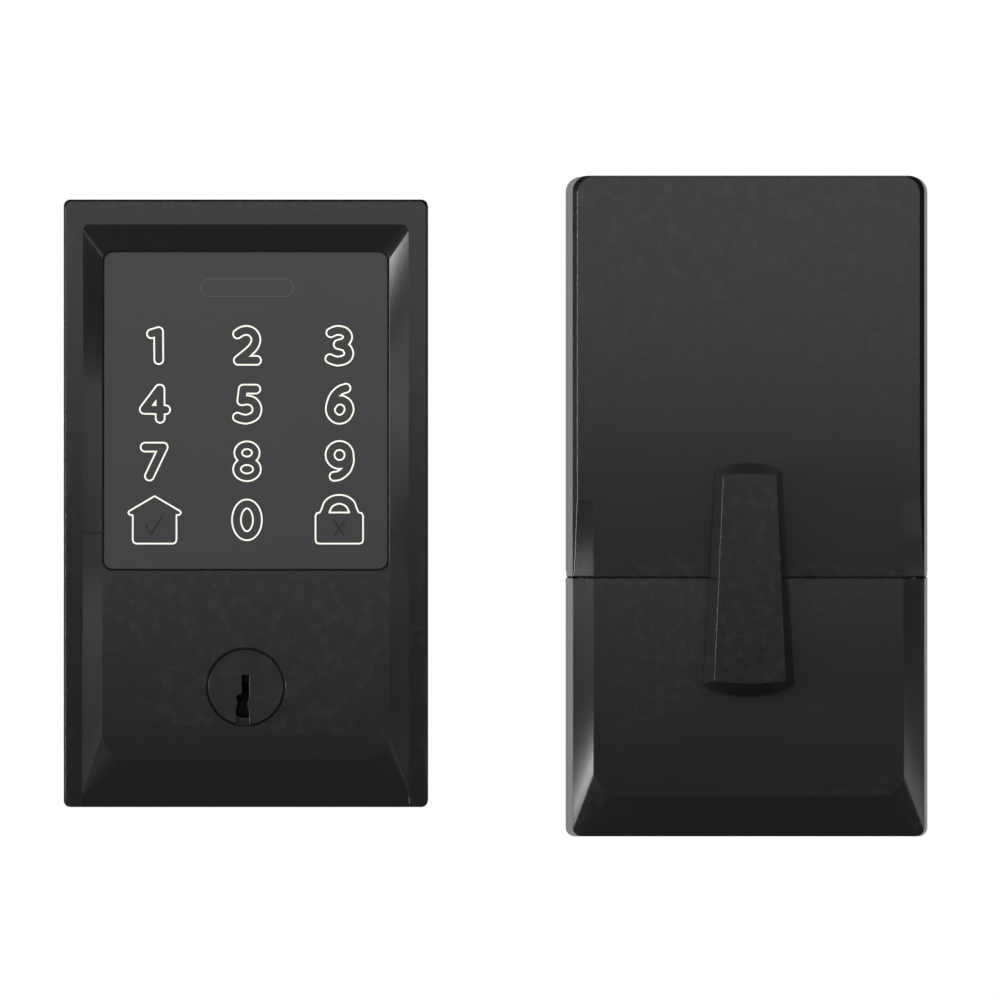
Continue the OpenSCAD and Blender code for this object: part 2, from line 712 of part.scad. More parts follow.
module interior_housing() {
    motor_cup = 1.6;
    color(black_metal) in_turn() difference() {
        union() {
            difference() {
                lower_form();
                lower_cavity();
            }
            // box behind the lower end of the cover
            difference() {
                upright(pan_back, box_front)
                    translate([-box_x, seam_z - 3]) square([2 * box_x, box_top - seam_z + 3]);
                upright(pan_back - 1, box_front - box_wall)
                    translate([-box_x + box_wall, seam_z - 9])
                        square([2 * (box_x - box_wall), box_top - box_wall - seam_z + 9]);
            }
            // shallow pan behind the batteries
            difference() {
                upright(pan_back, pan_floor)
                    translate([-box_x, box_top - 1]) square([2 * box_x, pan_top - box_top + 1]);
                upright(pan_back - 1, pan_floor_back) translate([-box_x + box_wall, box_top - 2])
                    square([2 * (box_x - box_wall), pan_top - box_top - box_wall + 2]);
            }
            seam_lips(int_w / 2 - 0.3, 1, lip_d, lip_h);
            for (sx = [-1, 1])
                translate([sx > 0 ? box_x - e : -box_x - rail_w, -(rail_d + rail_t), box_top])
                    cube([rail_w + e, rail_t, pan_top - box_top - 4]);
            tube([0, 0], hub_boss_r, bushing_back, box_front);
            tube(motor_at, motor_r + 0.05 + motor_cup, cavity_d - 9, cavity_d + e);
            for (p = gear_screws) tube(p, 2.6, gear_plate_front, cavity_d - (p[1] > seam_z ? 1 : -e));
            for (sx = [-1, 1]) tube([sx * mount_screw_x, mount_screw_z], mount_boss_r, pan_back, box_front);
            tube(button_at, button_r + 2.2, 15, box_front);
            for (p = board_holes) tube(p, 2.6, board_front, pan_floor - e);
        }
        neck_clear(box_front - 0.6, int_d + 2);
        tube([0, 0], bushing_r, bushing_back - 1, box_front - 0.6);
        tube([0, 0], spindle_r + 0.6, box_front - 1, box_front + 2);
        tube(motor_at, motor_r + 0.05, 0, cavity_d - 0.4);
        for (p = gear_screws) tube(p, small_screw_r, 0, 16);
        for (sx = [-1, 1]) {
            tube([sx * mount_screw_x, mount_screw_z], 1.9, 0, box_front + 1);
            tube([sx * mount_screw_x, mount_screw_z], 3.5, box_front - 2.9, box_front + 1);
        }
        tube(button_at, button_r + 1.2, 16, box_front - box_wall);
        tube(button_at, button_r + 0.3, box_front - box_wall - 1, box_front + 1);
        tube(button_at, 1.9, 0, 17);
        for (p = board_holes) tube(p, 0.9, 0, 8);
        // doorway for the board's tab
        slab(button_at[0], box_top, 13, 8, pan_back - 1, pan_floor_back);
    }
}

// Outline of the lever at one depth: straight sides and bulging ends
function lever_points(top_w, foot_w, z_top, z_foot, bulge_top, bulge_foot) =
    let (n = 12)
    concat([for (i = [0 : n]) let (t = 2 * i / n - 1) [t * top_w / 2, z_top + bulge_top * (1 - t * t)]],
        [for (i = [0 : n]) let (t = 1 - 2 * i / n) [t * foot_w / 2, z_foot - bulge_foot * (1 - t * t)]]);
module thumbturn() {
    square_r = 3;
    color(black_metal) in_turn() difference() {
        union() {
            hull() {
                upright(lever_back, lever_back + 0.5) polygon(lever_points(lever_top_w, lever_foot_w,
                    lever_half, 1.1 - lever_half, 1.5, 2.6));
                upright(turn_d - e, turn_d) polygon(lever_points(lever_top_w - lever_draft_top,
                    lever_foot_w - lever_draft_foot, lever_half - 1.1, 1.8 - lever_half, 0.4, 0.5));
            }
            bar(0, 0, neck_r, box_front + 0.2, lever_back + 1);
        }
        slab(0, 0, 2 * square_r, 2 * square_r, box_front - 1, lever_back + 4);
    }
}
module turn_spindle() {
    square_r = 3;
    slot_l = 12;
    color(steel) in_turn() difference() {
        union() {
            bar(0, 0, spindle_r, spindle_back, box_front + 0.2);
            slab(0, 0, 2 * square_r, 2 * square_r, box_front, lever_back + 4);
        }
        slab(0, 0, tail_w + 0.6, tail_t + 0.4, spindle_back - 1, spindle_back + slot_l);
        difference() {
            bar(0, 0, spindle_r + 1, clip_d, clip_d + 0.8);
            bar(0, 0, spindle_r - 0.6, clip_d - 1, clip_d + 2);
        }
    }
}
module spindle_clip() {
    color(steel) in_turn() difference() {
        bar(0, 0, spindle_r + 2, clip_d + 0.05, clip_d + 0.8);
        bar(0, 0, spindle_r - 0.55, clip_d - 1, clip_d + 2);
        slab(0, 6, 5, 10, clip_d - 1, clip_d + 2);
    }
}
module spindle_bushing() {
    color(brass) in_turn() difference() {
        union() {
            bar(0, 0, bushing_r, bushing_back - 1, box_front - 0.6);
            bar(0, 0, bushing_flange_r, bushing_back - 1, bushing_back);
        }
        bar(0, 0, spindle_r + spindle_fit, bushing_back - 2, box_front + 1);
    }
}
module output_gear() {
    color(brass) in_turn() difference() {
        upright(gear_back, gear_back + gear_t) polygon(gear_points(teeth_out, idler_angle));
        bar(0, 0, spindle_r, gear_back - 1, gear_back + gear_t + 1);
        for (a = [30 : 60 : 330]) bar(9.6 * cos(a), 9.6 * sin(a), 2, gear_back - 1, gear_back + gear_t + 1);
    }
}
module position_magnet() {
    color(steel) in_turn() bar(0, 1.6 - out_r + gear_m * 2, 2, gear_back + gear_t, gear_back + gear_t + 1.4);
}
module idler_gear() {
    color(white_plastic) in_turn() translate([idler_at[0], 0, idler_at[1]]) difference() {
        union() {
            upright(large_back, large_back + large_t) polygon(gear_points(teeth_large, motor_angle));
            bar(0, 0, gear_root(teeth_small), large_back, gear_back);
            upright(gear_back - 0.5, gear_back + gear_t + 0.5)
                polygon(gear_points(teeth_small, idler_angle + 180 + 180 / teeth_small));
        }
        bar(0, 0, idler_pin_r + 0.05, large_back - 1, gear_back + gear_t + 2);
    }
}
module idler_pin() {
    color(steel) in_turn() {
        bar(idler_at[0], idler_at[1], idler_pin_r, plate_back, gear_back + gear_t + 1.4);
        bar(idler_at[0], idler_at[1], idler_pin_r + 1,
            gear_back + gear_t + 0.8, gear_back + gear_t + 1.4);
    }
}
motor_back = large_back + large_t + 1.2;
motor_bearing_l = 3;
shaft_r = 1;
module motor_gear() {
    color(brass) in_turn() translate([motor_at[0], 0, motor_at[1]]) {
        upright(large_back - 0.2, large_back + large_t + 0.4)
            polygon(gear_points(teeth_motor, motor_angle + 180 + 180 / teeth_motor));
        bar(0, 0, shaft_r, large_back - 0.8, motor_back + motor_bearing_l - 1);
    }
}
module drive_motor() {
    flat = 0.9;
    color(steel) in_turn() translate([motor_at[0], 0, motor_at[1]]) difference() {
        union() {
            intersection() {
                bar(0, 0, motor_r, motor_back, cavity_d - 0.4);
                slab(0, 0, 2 * (motor_r - flat), 3 * motor_r, motor_back, cavity_d);
            }
            bar(0, 0, 3, motor_back - 0.5, motor_back + e);
        }
        bar(0, 0, shaft_r + 0.05, motor_back - 1, motor_back + motor_bearing_l);
    }
}
module gearbox_plate() {
    color(steel) in_turn() difference() {
        union() {
            slab(0.4, -16, 48, 56, plate_back, gear_plate_front);
            for (p = gear_screws) bar(p[0], p[1], 4, plate_back, gear_plate_front);
            for (sx = [-1, 1]) slab(sx * 20.5, 12, 8, 10, plate_back, gear_plate_front);
        }
        bar(0, 0, spindle_r + 0.3, 0, 10);
        bar(idler_at[0], idler_at[1], idler_pin_r, 0, 10);
        bar(motor_at[0], motor_at[1], 3, 0, 10);
        for (p = gear_screws) bar(p[0], p[1], small_screw_r + 0.2, 0, 10);
    }
}
module gearbox_screws() {
    color(steel) in_turn() for (p = gear_screws) {
        bar(p[0], p[1], small_screw_r, plate_back - e, 14);
        bar(p[0], p[1], small_head_r, plate_back - 1.6, plate_back);
    }
}
module position_sensor() {
    at = [-14, -13];
    color(board_green) in_turn() {
        slab(at[0], at[1], 9, 8, 22, 23.2);
        slab(at[0], at[1], 3.4, 3, 20.8, 22 + e);
        for (s = [-1, 1]) bar(at[0] + s * 3.2, at[1], 0.9, 23.2 - e, cavity_d);
    }
}
module main_circuit_board() {
    tab_z = 16;
    color(board_green) in_turn() difference() {
        union() {
            slab(0, (board_z0 + board_z1) / 2, 2 * board_x, board_z1 - board_z0, board_back, board_front);
            slab(button_at[0], (tab_z + board_z0) / 2, 12, board_z0 - tab_z + 1, board_back, board_front);
            for (x = [-22, -12, 18], z = [11.5, 22.5])
                slab(x, board_z0 + z, 6, 7, board_front - e, board_front + 1.4);
        }
        for (p = board_holes) tube(p, 1.1, 0, 9);
    }
}
module radio_module() {
    color("#b9bcc0") in_turn() slab(2, board_z1 - 16, 16, 20, board_front, board_front + 2.2);
}
module cable_socket() {
    color(white_plastic) in_turn() difference() {
        slab(-10, board_z0 + 5, 12, 6, 0.6, board_back);
        slab(-10, board_z0 + 5, 10, 4.2, -1, 3);
    }
}
module board_screws() {
    color(steel) in_turn() for (p = board_holes) {
        tube(p, 0.9, board_back - e, 7.5);
        tube(p, 2, board_back - 1.2, board_back);
    }
}
module battery_x(i) {
    translate([(i - (battery_n - 1) / 2) * battery_pitch, 0, 0]) children();
}
module battery_tray() {
    rib_h = 4.5;
    color(black_plastic) in_turn() {
        slab(0, (tray_z0 + tray_z1) / 2, 2 * tray_x, tray_z1 - tray_z0, pan_floor, pan_floor + tray_floor);
        for (z = [tray_z0, tray_z1 - tray_wall])
            slab(0, z + tray_wall / 2, 2 * tray_x, tray_wall, pan_floor, battery_d + 4);
        for (i = [0 : battery_n]) battery_x(i - 0.5) {
            difference() {
                slab(0, (tray_z0 + tray_z1) / 2, 2.6, tray_z1 - tray_z0,
                    pan_floor, pan_floor + tray_floor + rib_h);
                for (s = [-1, 1]) translate([s * battery_pitch / 2, -battery_d, tray_z0 - 1])
                    cylinder(r = battery_r + 0.15, h = tray_z1 - tray_z0 + 2);
            }
        }
    }
}
module batteries() {
    nub_h = 1.2;
    color("#3c6ea8") in_turn() for (i = [0 : battery_n - 1]) battery_x(i)
        translate([0, -battery_d, battery_z0 + battery_l / 2]) rotate([i % 2 == 0 ? 0 : 180, 0, 0])
            translate([0, 0, -battery_l / 2]) {
                cylinder(r = battery_r, h = battery_l - nub_h);
                cylinder(r = 2.7, h = battery_l);
            }
}
module battery_contacts() {
    wire = 0.4;
    plate = 0.4;
    room = battery_z0 - tray_z0 - tray_wall - plate;
    color(steel) in_turn() for (i = [0 : battery_n - 1]) battery_x(i)
        for (end = [0, 1]) {
            inward = end == 0 ? 1 : -1;
            wall_z = end == 0 ? tray_z0 + tray_wall : tray_z1 - tray_wall;
            translate([0, -battery_d, wall_z]) scale([1, 1, inward]) {
                translate([-5, -5, 0]) cube([10, 10, plate]);
                if (end != i % 2) cylinder(r = 2, h = room + plate - 0.02);
                else for (k = [0 : 2]) translate([0, 0, plate + wire - 0.06 + k * (room - 2 * wire) / 2])
                    rotate_extrude() translate([4.4 - 0.55 * k, 0]) circle(wire, $fn = 16);
            }
        }
}
module pairing_button() {
    color(white_plastic) in_turn() {
        tube(button_at, button_r, box_front - 2.6, box_front + 0.3);
        tube(button_at, button_r + 0.9, box_front - box_wall - 1.3, box_front - box_wall - 0.1);
        tube(button_at, 1.5, board_front + 3.2 + switch_gap, box_front - 2);
    }
}
// Drawn at its pressed length
module button_spring() {
    wire = 0.3;
    d0 = 16;
    d1 = box_front - box_wall - 1.35 - button_travel;
    turns = ceil((d1 - d0) / (2 * wire)) + 1;
    color(steel) in_turn() for (k = [0 : turns - 1])
        translate([button_at[0], -(d0 + wire + k * (d1 - d0 - 2 * wire) / (turns - 1)), button_at[1]])
            rotate([90, 0, 0]) rotate_extrude() translate([2.3, 0]) circle(wire, $fn = 16);
}
module button_switch() {
    color("#1c1c1c") in_turn() {
        slab(button_at[0], button_at[1], 6, 6, board_front, board_front + 2.4);
        tube(button_at, 1.3, board_front + 2.4 - e, board_front + 3.2);
    }
}
module cover_detent() {
    at = [-18, 8];
    color(steel) in_turn() {
        slab(at[0], at[1], 5, 12, box_front, box_front + 0.3);
        slab(at[0], at[1] + 4, 5, 1.4, box_front + 0.3 - e, box_front + 0.5);
    }
}
module support_plate() {
    hub_hole_r = 14;
    foot = int_foot + int_wall + 2.4;
    color(steel) in_turn() difference() {
        union() {
            upright(0, support_t) translate([0, (foot + pan_top) / 2])
                rounded(2 * support_x - 2 * box_wall, pan_top - foot, 4);
            for (sx = [-1, 1]) tube([sx * mount_screw_x, mount_screw_z], 3, 0, support_t);
        }
        bar(0, 0, hub_hole_r, -1, 5);
        for (sx = [-1, 1]) {
            tube([sx * bolt_spacing / 2, 0], bolt_r + 0.3, -1, 5);
            tube([sx * mount_screw_x, mount_screw_z], 1.5, -1, 5);
        }
        slab(-10, board_z0 + 5, 16, 10, -1, 5);
    }
}
module through_bolts() {
    head_t = 2.6;
    color(steel) in_turn() for (sx = [-1, 1]) difference() {
        union() {
            bar(sx * bolt_spacing / 2, 0, bolt_r, -bolt_reach, -0.3);
            bar(sx * bolt_spacing / 2, 0, bolt_r - 0.2, -0.3 - e, support_t + e);
            bar(sx * bolt_spacing / 2, 0, 3.8, support_t, support_t + head_t);
        }
        for (a = [0, 90]) translate([sx * bolt_spacing / 2, -(support_t + head_t), 0])
            rotate([0, a, 0]) cube([0.9, 2.6, 4.4], center = true);
    }
}
module mounting_screws() {
    color(steel) in_turn() for (sx = [-1, 1]) difference() {
        union() {
            bar(sx * mount_screw_x, mount_screw_z, 1.5, 0.4, box_front - 2.8);
            bar(sx * mount_screw_x, mount_screw_z, 3.1, box_front - 2.9, box_front - 0.6);
        }
        for (a = [0, 90]) translate([sx * mount_screw_x, -(box_front - 0.6), mount_screw_z])
            rotate([0, a, 0]) cube([0.8, 2.4, 3.8], center = true);
    }
}

exterior_housing();
touchscreen_lens();
lens_seal();
touch_sensor_board();
light_guide();
keypad_circuit_board();
alarm_buzzer();
exterior_back_plate();
exterior_plate_screws();
weather_gasket();
cable_grommet();
bolt_posts();
cylinder_body();
driver_pins();
pin_springs();
pin_chamber_cap();
key_plug();
key_pins();
plug_retainer();
tailpiece();
interior_housing();
battery_cover();
thumbturn();
turn_spindle();
spindle_clip();
output_gear();
position_magnet();
spindle_bushing();
idler_gear();
idler_pin();
motor_gear();
drive_motor();
gearbox_plate();
gearbox_screws();
position_sensor();
main_circuit_board();
radio_module();
cable_socket();
board_screws();
battery_tray();
batteries();
battery_contacts();
pairing_button();
button_spring();
button_switch();
cover_detent();
support_plate();
through_bolts();
mounting_screws();
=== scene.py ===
"""Looks for the keypad smart lock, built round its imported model, laid out as a Blender add-on."""
import json
import math

import bmesh
import bpy
import numpy as np
from bpy.props import FloatProperty, FloatVectorProperty, PointerProperty
from bpy.types import Operator, Panel, PropertyGroup
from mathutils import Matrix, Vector


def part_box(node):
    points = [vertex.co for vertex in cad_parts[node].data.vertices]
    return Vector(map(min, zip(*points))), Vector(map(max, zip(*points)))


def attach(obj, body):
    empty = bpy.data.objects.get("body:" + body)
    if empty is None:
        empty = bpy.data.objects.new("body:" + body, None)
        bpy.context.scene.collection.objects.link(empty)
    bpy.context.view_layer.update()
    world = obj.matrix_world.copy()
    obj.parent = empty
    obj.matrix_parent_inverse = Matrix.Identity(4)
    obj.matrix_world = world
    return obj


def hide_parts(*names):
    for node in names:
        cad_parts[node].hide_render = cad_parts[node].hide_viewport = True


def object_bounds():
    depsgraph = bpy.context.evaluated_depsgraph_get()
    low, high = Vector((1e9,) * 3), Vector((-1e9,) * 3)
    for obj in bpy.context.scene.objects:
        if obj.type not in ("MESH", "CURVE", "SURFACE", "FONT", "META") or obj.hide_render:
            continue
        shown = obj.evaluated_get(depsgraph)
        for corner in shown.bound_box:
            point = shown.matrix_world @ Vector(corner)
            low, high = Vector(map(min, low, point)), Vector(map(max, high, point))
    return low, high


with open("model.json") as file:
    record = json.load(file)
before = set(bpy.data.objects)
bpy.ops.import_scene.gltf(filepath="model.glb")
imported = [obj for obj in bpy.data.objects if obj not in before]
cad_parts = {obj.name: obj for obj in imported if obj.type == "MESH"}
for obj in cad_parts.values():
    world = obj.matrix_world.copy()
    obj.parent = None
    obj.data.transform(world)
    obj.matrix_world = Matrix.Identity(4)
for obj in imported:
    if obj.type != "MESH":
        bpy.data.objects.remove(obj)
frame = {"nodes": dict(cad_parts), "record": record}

bl_info = {
    "name": "Keypad smart lock",
    "version": (1, 0, 0),
    "blender": (4, 5, 0),
    "location": "3D View > Sidebar > Lock",
    "description": "Builds the looks of a keypad smart lock round its packed model",
    "category": "Object",
}

CAD_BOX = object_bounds()
MM = 0.001
SLOT_OF = {part["node"]: part["material_slot"] for part in frame["record"]["subparts"]}
INTERIOR_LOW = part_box("interior_housing")[0]

# How a CAD node is made ready for smooth shading.
WELD = 1e-6
FLAT_ANGLE = math.radians(0.15)
SHARP_ANGLE = 14
LEAST_ANGLE = 0.3
SLOPE_WIDTH = 1.2 * MM
BIG_FACE = 60 * MM * MM

# The grid that turns strokes into printed shapes, in millimetres.
GRID_STEP = 0.05
GRID_MARGIN = 0.3


# ------------------------------------------------------------------ settings

class LockSizes(PropertyGroup):
    """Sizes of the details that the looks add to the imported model."""
    edge_round: FloatProperty(
        name="Edge round", description="Radius that softens every edge of the coated castings",
        default=0.00022, min=0.00005, max=0.0006, unit="LENGTH", precision=5)
    grain: FloatProperty(
        name="Coat grain", description="Width of one speck of the powder coat",
        default=0.00022, min=0.0001, max=0.001, unit="LENGTH", precision=5)
    digit_pitch_x: FloatProperty(
        name="Digit pitch across", description="Distance between the digit columns",
        default=0.01942, min=0.015, max=0.022, unit="LENGTH", precision=5)
    digit_pitch_z: FloatProperty(
        name="Digit pitch down", description="Distance between the digit rows",
        default=0.01221, min=0.010, max=0.014, unit="LENGTH", precision=5)
    digit_top: FloatProperty(
        name="First digit row", description="Height of the first row above the key plug's axis",
        default=0.07183, min=0.06, max=0.08, unit="LENGTH", precision=5)
    stroke_radius: FloatProperty(
        name="Stroke radius", description="Half width of a digit's stroke, to the middle of its outline",
        default=0.00094, min=0.0007, max=0.0013, unit="LENGTH", precision=5)
    line_half: FloatProperty(
        name="Outline half width", description="Half width of the printed outline",
        default=0.00017, min=0.0001, max=0.0004, unit="LENGTH", precision=5)
    print_lift: FloatProperty(
        name="Print height", description="Height of the legends above the window",
        default=0.00003, min=0.00001, max=0.0001, unit="LENGTH", precision=5)


class LockColours(PropertyGroup):
    """Colours of the finishes."""
    coat: FloatVectorProperty(
        name="Powder coat", description="Satin black of the castings, the cover and the turn",
        subtype="COLOR", default=(0.0095, 0.0095, 0.0105), min=0, max=1)
    window: FloatVectorProperty(
        name="Window", description="Dark grey of the touch window",
        subtype="COLOR", default=(0.044, 0.044, 0.046), min=0, max=1)
    legend: FloatVectorProperty(
        name="Legends", description="Warm white of the digits and symbols",
        subtype="COLOR", default=(0.86, 0.84, 0.76), min=0, max=1)
    faint: FloatVectorProperty(
        name="Faint print", description="Dark grey of the marks that only show lit",
        subtype="COLOR", default=(0.030, 0.030, 0.030), min=0, max=1)
    sensor_line: FloatVectorProperty(
        name="Sensor mark", description="Mid grey of the plain sensor outline",
        subtype="COLOR", default=(0.115, 0.115, 0.118), min=0, max=1)
    steel: FloatVectorProperty(
        name="Steel", description="Zinc plated steel", subtype="COLOR",
        default=(0.56, 0.57, 0.59), min=0, max=1)
    brass: FloatVectorProperty(
        name="Brass", description="Turned brass", subtype="COLOR",
        default=(0.72, 0.53, 0.26), min=0, max=1)
    board: FloatVectorProperty(
        name="Board", description="Solder mask green", subtype="COLOR",
        default=(0.015, 0.11, 0.05), min=0, max=1)
    wrap: FloatVectorProperty(
        name="Battery wrap", description="Film round the batteries", subtype="COLOR",
        default=(0.03, 0.09, 0.24), min=0, max=1)
    floor: FloatVectorProperty(
        name="Floor", description="Pale floor", subtype="COLOR",
        default=(0.86, 0.86, 0.86), min=0, max=1)


class StudioSettings(PropertyGroup):
    """Camera and lights."""
    camera_distance: FloatProperty(
        name="Camera distance", description="Distance of the camera from the door plane",
        default=3.2, min=0.8, max=5, unit="LENGTH")
    view_x: FloatProperty(
        name="View centre across", description="Where the camera looks, from the key plug",
        default=0.05347, unit="LENGTH", precision=5)
    view_z: FloatProperty(
        name="View centre up", description="Height at which the camera looks",
        default=0.03939, unit="LENGTH", precision=5)
    view_width: FloatProperty(
        name="View width", description="Width of the picture at the lock's face",
        default=0.2096, unit="LENGTH", precision=5)
    light_distance: FloatProperty(
        name="Light distance", description="Distance of the softboxes from the lock",
        default=2.2, min=1.7, max=4, unit="LENGTH")
    left_power: FloatProperty(
        name="Left light", description="Power of the softbox far out at the left",
        default=42.0, unit="POWER")
    right_power: FloatProperty(
        name="Right light", description="Power of the softbox far out at the right",
        default=9.0, unit="POWER")
    high_power: FloatProperty(
        name="High light", description="Power of the softbox above the camera, at its left",
        default=2.0, unit="POWER")
    low_power: FloatProperty(
        name="Low lights", description="Power of each low softbox below the camera",
        default=5.6, unit="POWER")
    front_power: FloatProperty(
        name="Front panel", description="Power of the panel close in front of the upper half",
        default=0.38, unit="POWER")
    floor_power: FloatProperty(
        name="Floor light", description="Power of the light that brightens the floor",
        default=0.5, unit="POWER")
    back_power: FloatProperty(
        name="Back light", description="Power of the lit wall behind the lock", default=4.0, unit="POWER")
    room: FloatProperty(
        name="Room light", description="Strength of the room round the lock", default=0.04, min=0, max=1)


# ------------------------------------------------------------------ mesh helpers

def add_object(name, mesh, body):
    """Links a mesh as an object that rides on a body."""
    obj = bpy.data.objects.new(name, mesh)
    bpy.context.scene.collection.objects.link(obj)
    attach(obj, body)
    return obj


def body_of_node(node):
    """Name of the body that a CAD node belongs to."""
    for body, members in frame["record"]["behaviour"]["bodies"].items():
        if node in members:
            return body
    raise RuntimeError(f"no body holds {node}")


def width_over(face, edge):
    """Mean width of a face, measured square to one of its edges."""
    share = 2.0 if len(face.verts) == 3 else 1.0
    return share * face.calc_area() / max(edge.calc_length(), 1e-9)


def refine(node, name, material):
    """A smooth-shaded copy of a CAD node that stands for it.

    Flat faces are joined up and stay flat; only round corners and the twisted slopes are shaded
    smooth. A slope that meets a flat face keeps its edge, however shallow the angle.
    """
    mesh = frame["nodes"][node].data.copy()
    mesh.name = name
    bm = bmesh.new()
    bm.from_mesh(mesh)
    bmesh.ops.remove_doubles(bm, verts=bm.verts, dist=WELD)
    bmesh.ops.dissolve_limit(bm, angle_limit=FLAT_ANGLE, verts=bm.verts, edges=bm.edges)
    bmesh.ops.recalc_face_normals(bm, faces=bm.faces)
    areas = {face: face.calc_area() for face in bm.faces}
    for face in bm.faces:
        face.smooth = True
    for edge in bm.edges:
        if len(edge.link_faces) != 2:
            edge.smooth = False
            continue
        first, second = edge.link_faces
        angle = math.degrees(edge.calc_face_angle(0.0))
        beside_flat = max(areas[first], areas[second]) > BIG_FACE and angle > LEAST_ANGLE
        slope = min(width_over(first, edge), width_over(second, edge)) > SLOPE_WIDTH
        edge.smooth = not (angle > SHARP_ANGLE or (beside_flat and slope))
    bm.to_mesh(mesh)
    bm.free()
    mesh.materials.clear()
    mesh.materials.append(material)
    obj = add_object(name, mesh, body_of_node(node))
    flat_first = obj.modifiers.new("flat_first", "WEIGHTED_NORMAL")
    flat_first.keep_sharp = True
    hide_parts(node)
    return obj


def front_plane(node):
    """A point on the largest flat face of a node that looks forwards, and its normal."""
    best = {}
    for face in frame["nodes"][node].data.polygons:
        if face.normal.y > -0.9:
            continue
        key = tuple(round(c, 3) for c in face.normal) + (round(face.normal.dot(face.center), 5),)
        area, point = best.get(key, (0.0, Vector((0, 0, 0))))
        best[key] = (area + face.area, point + face.center * face.area)
    key, (area, point) = max(best.items(), key=lambda item: item[1][0])
    return point / area, Vector(key[:3]).normalized()


def catmull(points, steps=8, closed=False):
    """Points of a smooth line through the given ones."""
    pts = [np.array(p, float) for p in points]
    count = len(pts)
    out = []
    spans = count if closed else count - 1
    for i in range(spans):
        p1, p2 = pts[i], pts[(i + 1) % count]
        p0 = pts[(i - 1) % count] if closed or i else 2 * p1 - p2
        p3 = pts[(i + 2) % count] if closed or i + 2 < count else 2 * p2 - p1
        for k in range(steps):
            t = k / steps
            out.append(0.5 * (2 * p1 + (p2 - p0) * t + (2 * p0 - 5 * p1 + 4 * p2 - p3) * t * t
                              + (3 * p1 - p0 - 3 * p2 + p3) * t ** 3))
    out.append(pts[0] if closed else pts[-1])
    return [tuple(p) for p in out]


def ellipse(cx, cz, rx, rz, steps=40):
    """Points round an ellipse."""
    return [(cx + rx * math.cos(2 * math.pi * k / steps), cz + rz * math.sin(2 * math.pi * k / steps))
            for k in range(steps + 1)]


def distance_grid(strokes, xs, zs):
    """Distance of every grid point from the nearest stroke."""
    gx, gz = np.meshgrid(xs, zs, indexing="ij")
    best = np.full(gx.shape, 1e9)
    for stroke in strokes:
        for (ax, az), (bx, bz) in zip(stroke[:-1], stroke[1:]):
            dx, dz = bx - ax, bz - az
            length = max(dx * dx + dz * dz, 1e-12)
            t = np.clip(((gx - ax) * dx + (gz - az) * dz) / length, 0, 1)
            best = np.minimum(best, np.hypot(gx - ax - t * dx, gz - az - t * dz))
    return best


def contour_loops(field, xs, zs, level):
    """Closed loops where a field over a grid crosses a level."""
    values = field - level
    step = xs[1] - xs[0]
    links = {}

    def cross(i, j, k, m):
        a, b = values[i, j], values[k, m]
        t = a / (a - b)
        return (xs[i] + t * step * (k - i), zs[j] + t * step * (m - j))

    where = np.sign(values) < 0
    cells = where[:-1, :-1].astype(int) + where[1:, :-1] + where[1:, 1:] + where[:-1, 1:]
    for i, j in zip(*np.nonzero((cells > 0) & (cells < 4))):
        corners = [(i, j), (i + 1, j), (i + 1, j + 1), (i, j + 1)]
        cuts = []
        for a, b in zip(corners, corners[1:] + corners[:1]):
            if where[a] != where[b]:
                low, high = min(a, b), max(a, b)
                cuts.append(((low, high), cross(*low, *high)))
        for one, two in zip(cuts[0::2], cuts[1::2]):
            links.setdefault(one[0], [one[1]]).append(two[0])
            links.setdefault(two[0], [two[1]]).append(one[0])
    loops = []
    while links:
        start = next(iter(links))
        loop, here, came = [], start, None
        while here in links:
            entry = links.pop(here)
            loop.append(entry[0])
            onward = [n for n in entry[1:] if n != came]
            came, here = here, onward[0] if onward else None
            if here == start:
                break
        loops.append(loop)
    return [thin_loop(loop, step) for loop in loops if len(loop) > 6]


def thin_loop(loop, step):
    """Drops points of a loop that lie on the line between their neighbours."""
    keep = []
    for i, point in enumerate(loop):
        last = keep[-1] if keep else loop[-1]
        after = loop[(i + 1) % len(loop)]
        run = math.dist(last, after)
        if run < 1e-9:
            continue
        off = abs((after[0] - last[0]) * (point[1] - last[1])
                  - (after[1] - last[1]) * (point[0] - last[0])) / run
        if off > step * 0.04 or math.dist(point, last) > step * 12:
            keep.append(point)
    return keep


def printed_mesh(name, bands, place, material):
    """Flat print from bands, each a list of strokes with the distances where the ink starts and ends."""
    mesh = bpy.data.meshes.new(name)
    bm = bmesh.new()
    for strokes, inner, outer in bands:
        flat = [p for stroke in strokes for p in stroke]
        edge = outer + GRID_MARGIN
        xs = np.arange(min(p[0] for p in flat) - edge, max(p[0] for p in flat) + edge, GRID_STEP)
        zs = np.arange(min(p[1] for p in flat) - edge, max(p[1] for p in flat) + edge, GRID_STEP)
        field = distance_grid(strokes, xs, zs)
        edges = []
        for level in [outer] + ([inner] if inner > 0 else []):
            for loop in contour_loops(field, xs, zs, level):
                verts = [bm.verts.new(place(x, z)) for x, z in loop]
                edges += [bm.edges.new((a, b)) for a, b in zip(verts, verts[1:] + verts[:1])]
        bmesh.ops.triangle_fill(bm, use_beauty=True, edges=edges)
    bmesh.ops.recalc_face_normals(bm, faces=bm.faces)
    for face in bm.faces:
        if face.normal.y > 0:
            face.normal_flip()
    bm.to_mesh(mesh)
    bm.free()
    mesh.materials.append(material)
    return mesh


# ------------------------------------------------------------------ legends

def both_sides(half):
    """A symmetric line from its right half, which starts on the middle line."""
    return [(-x, z) for x, z in reversed(half)] + [(x, z) for x, z in half if x > 0]


def closed(line):
    """The same line, brought back to its start."""
    return line + line[:1]


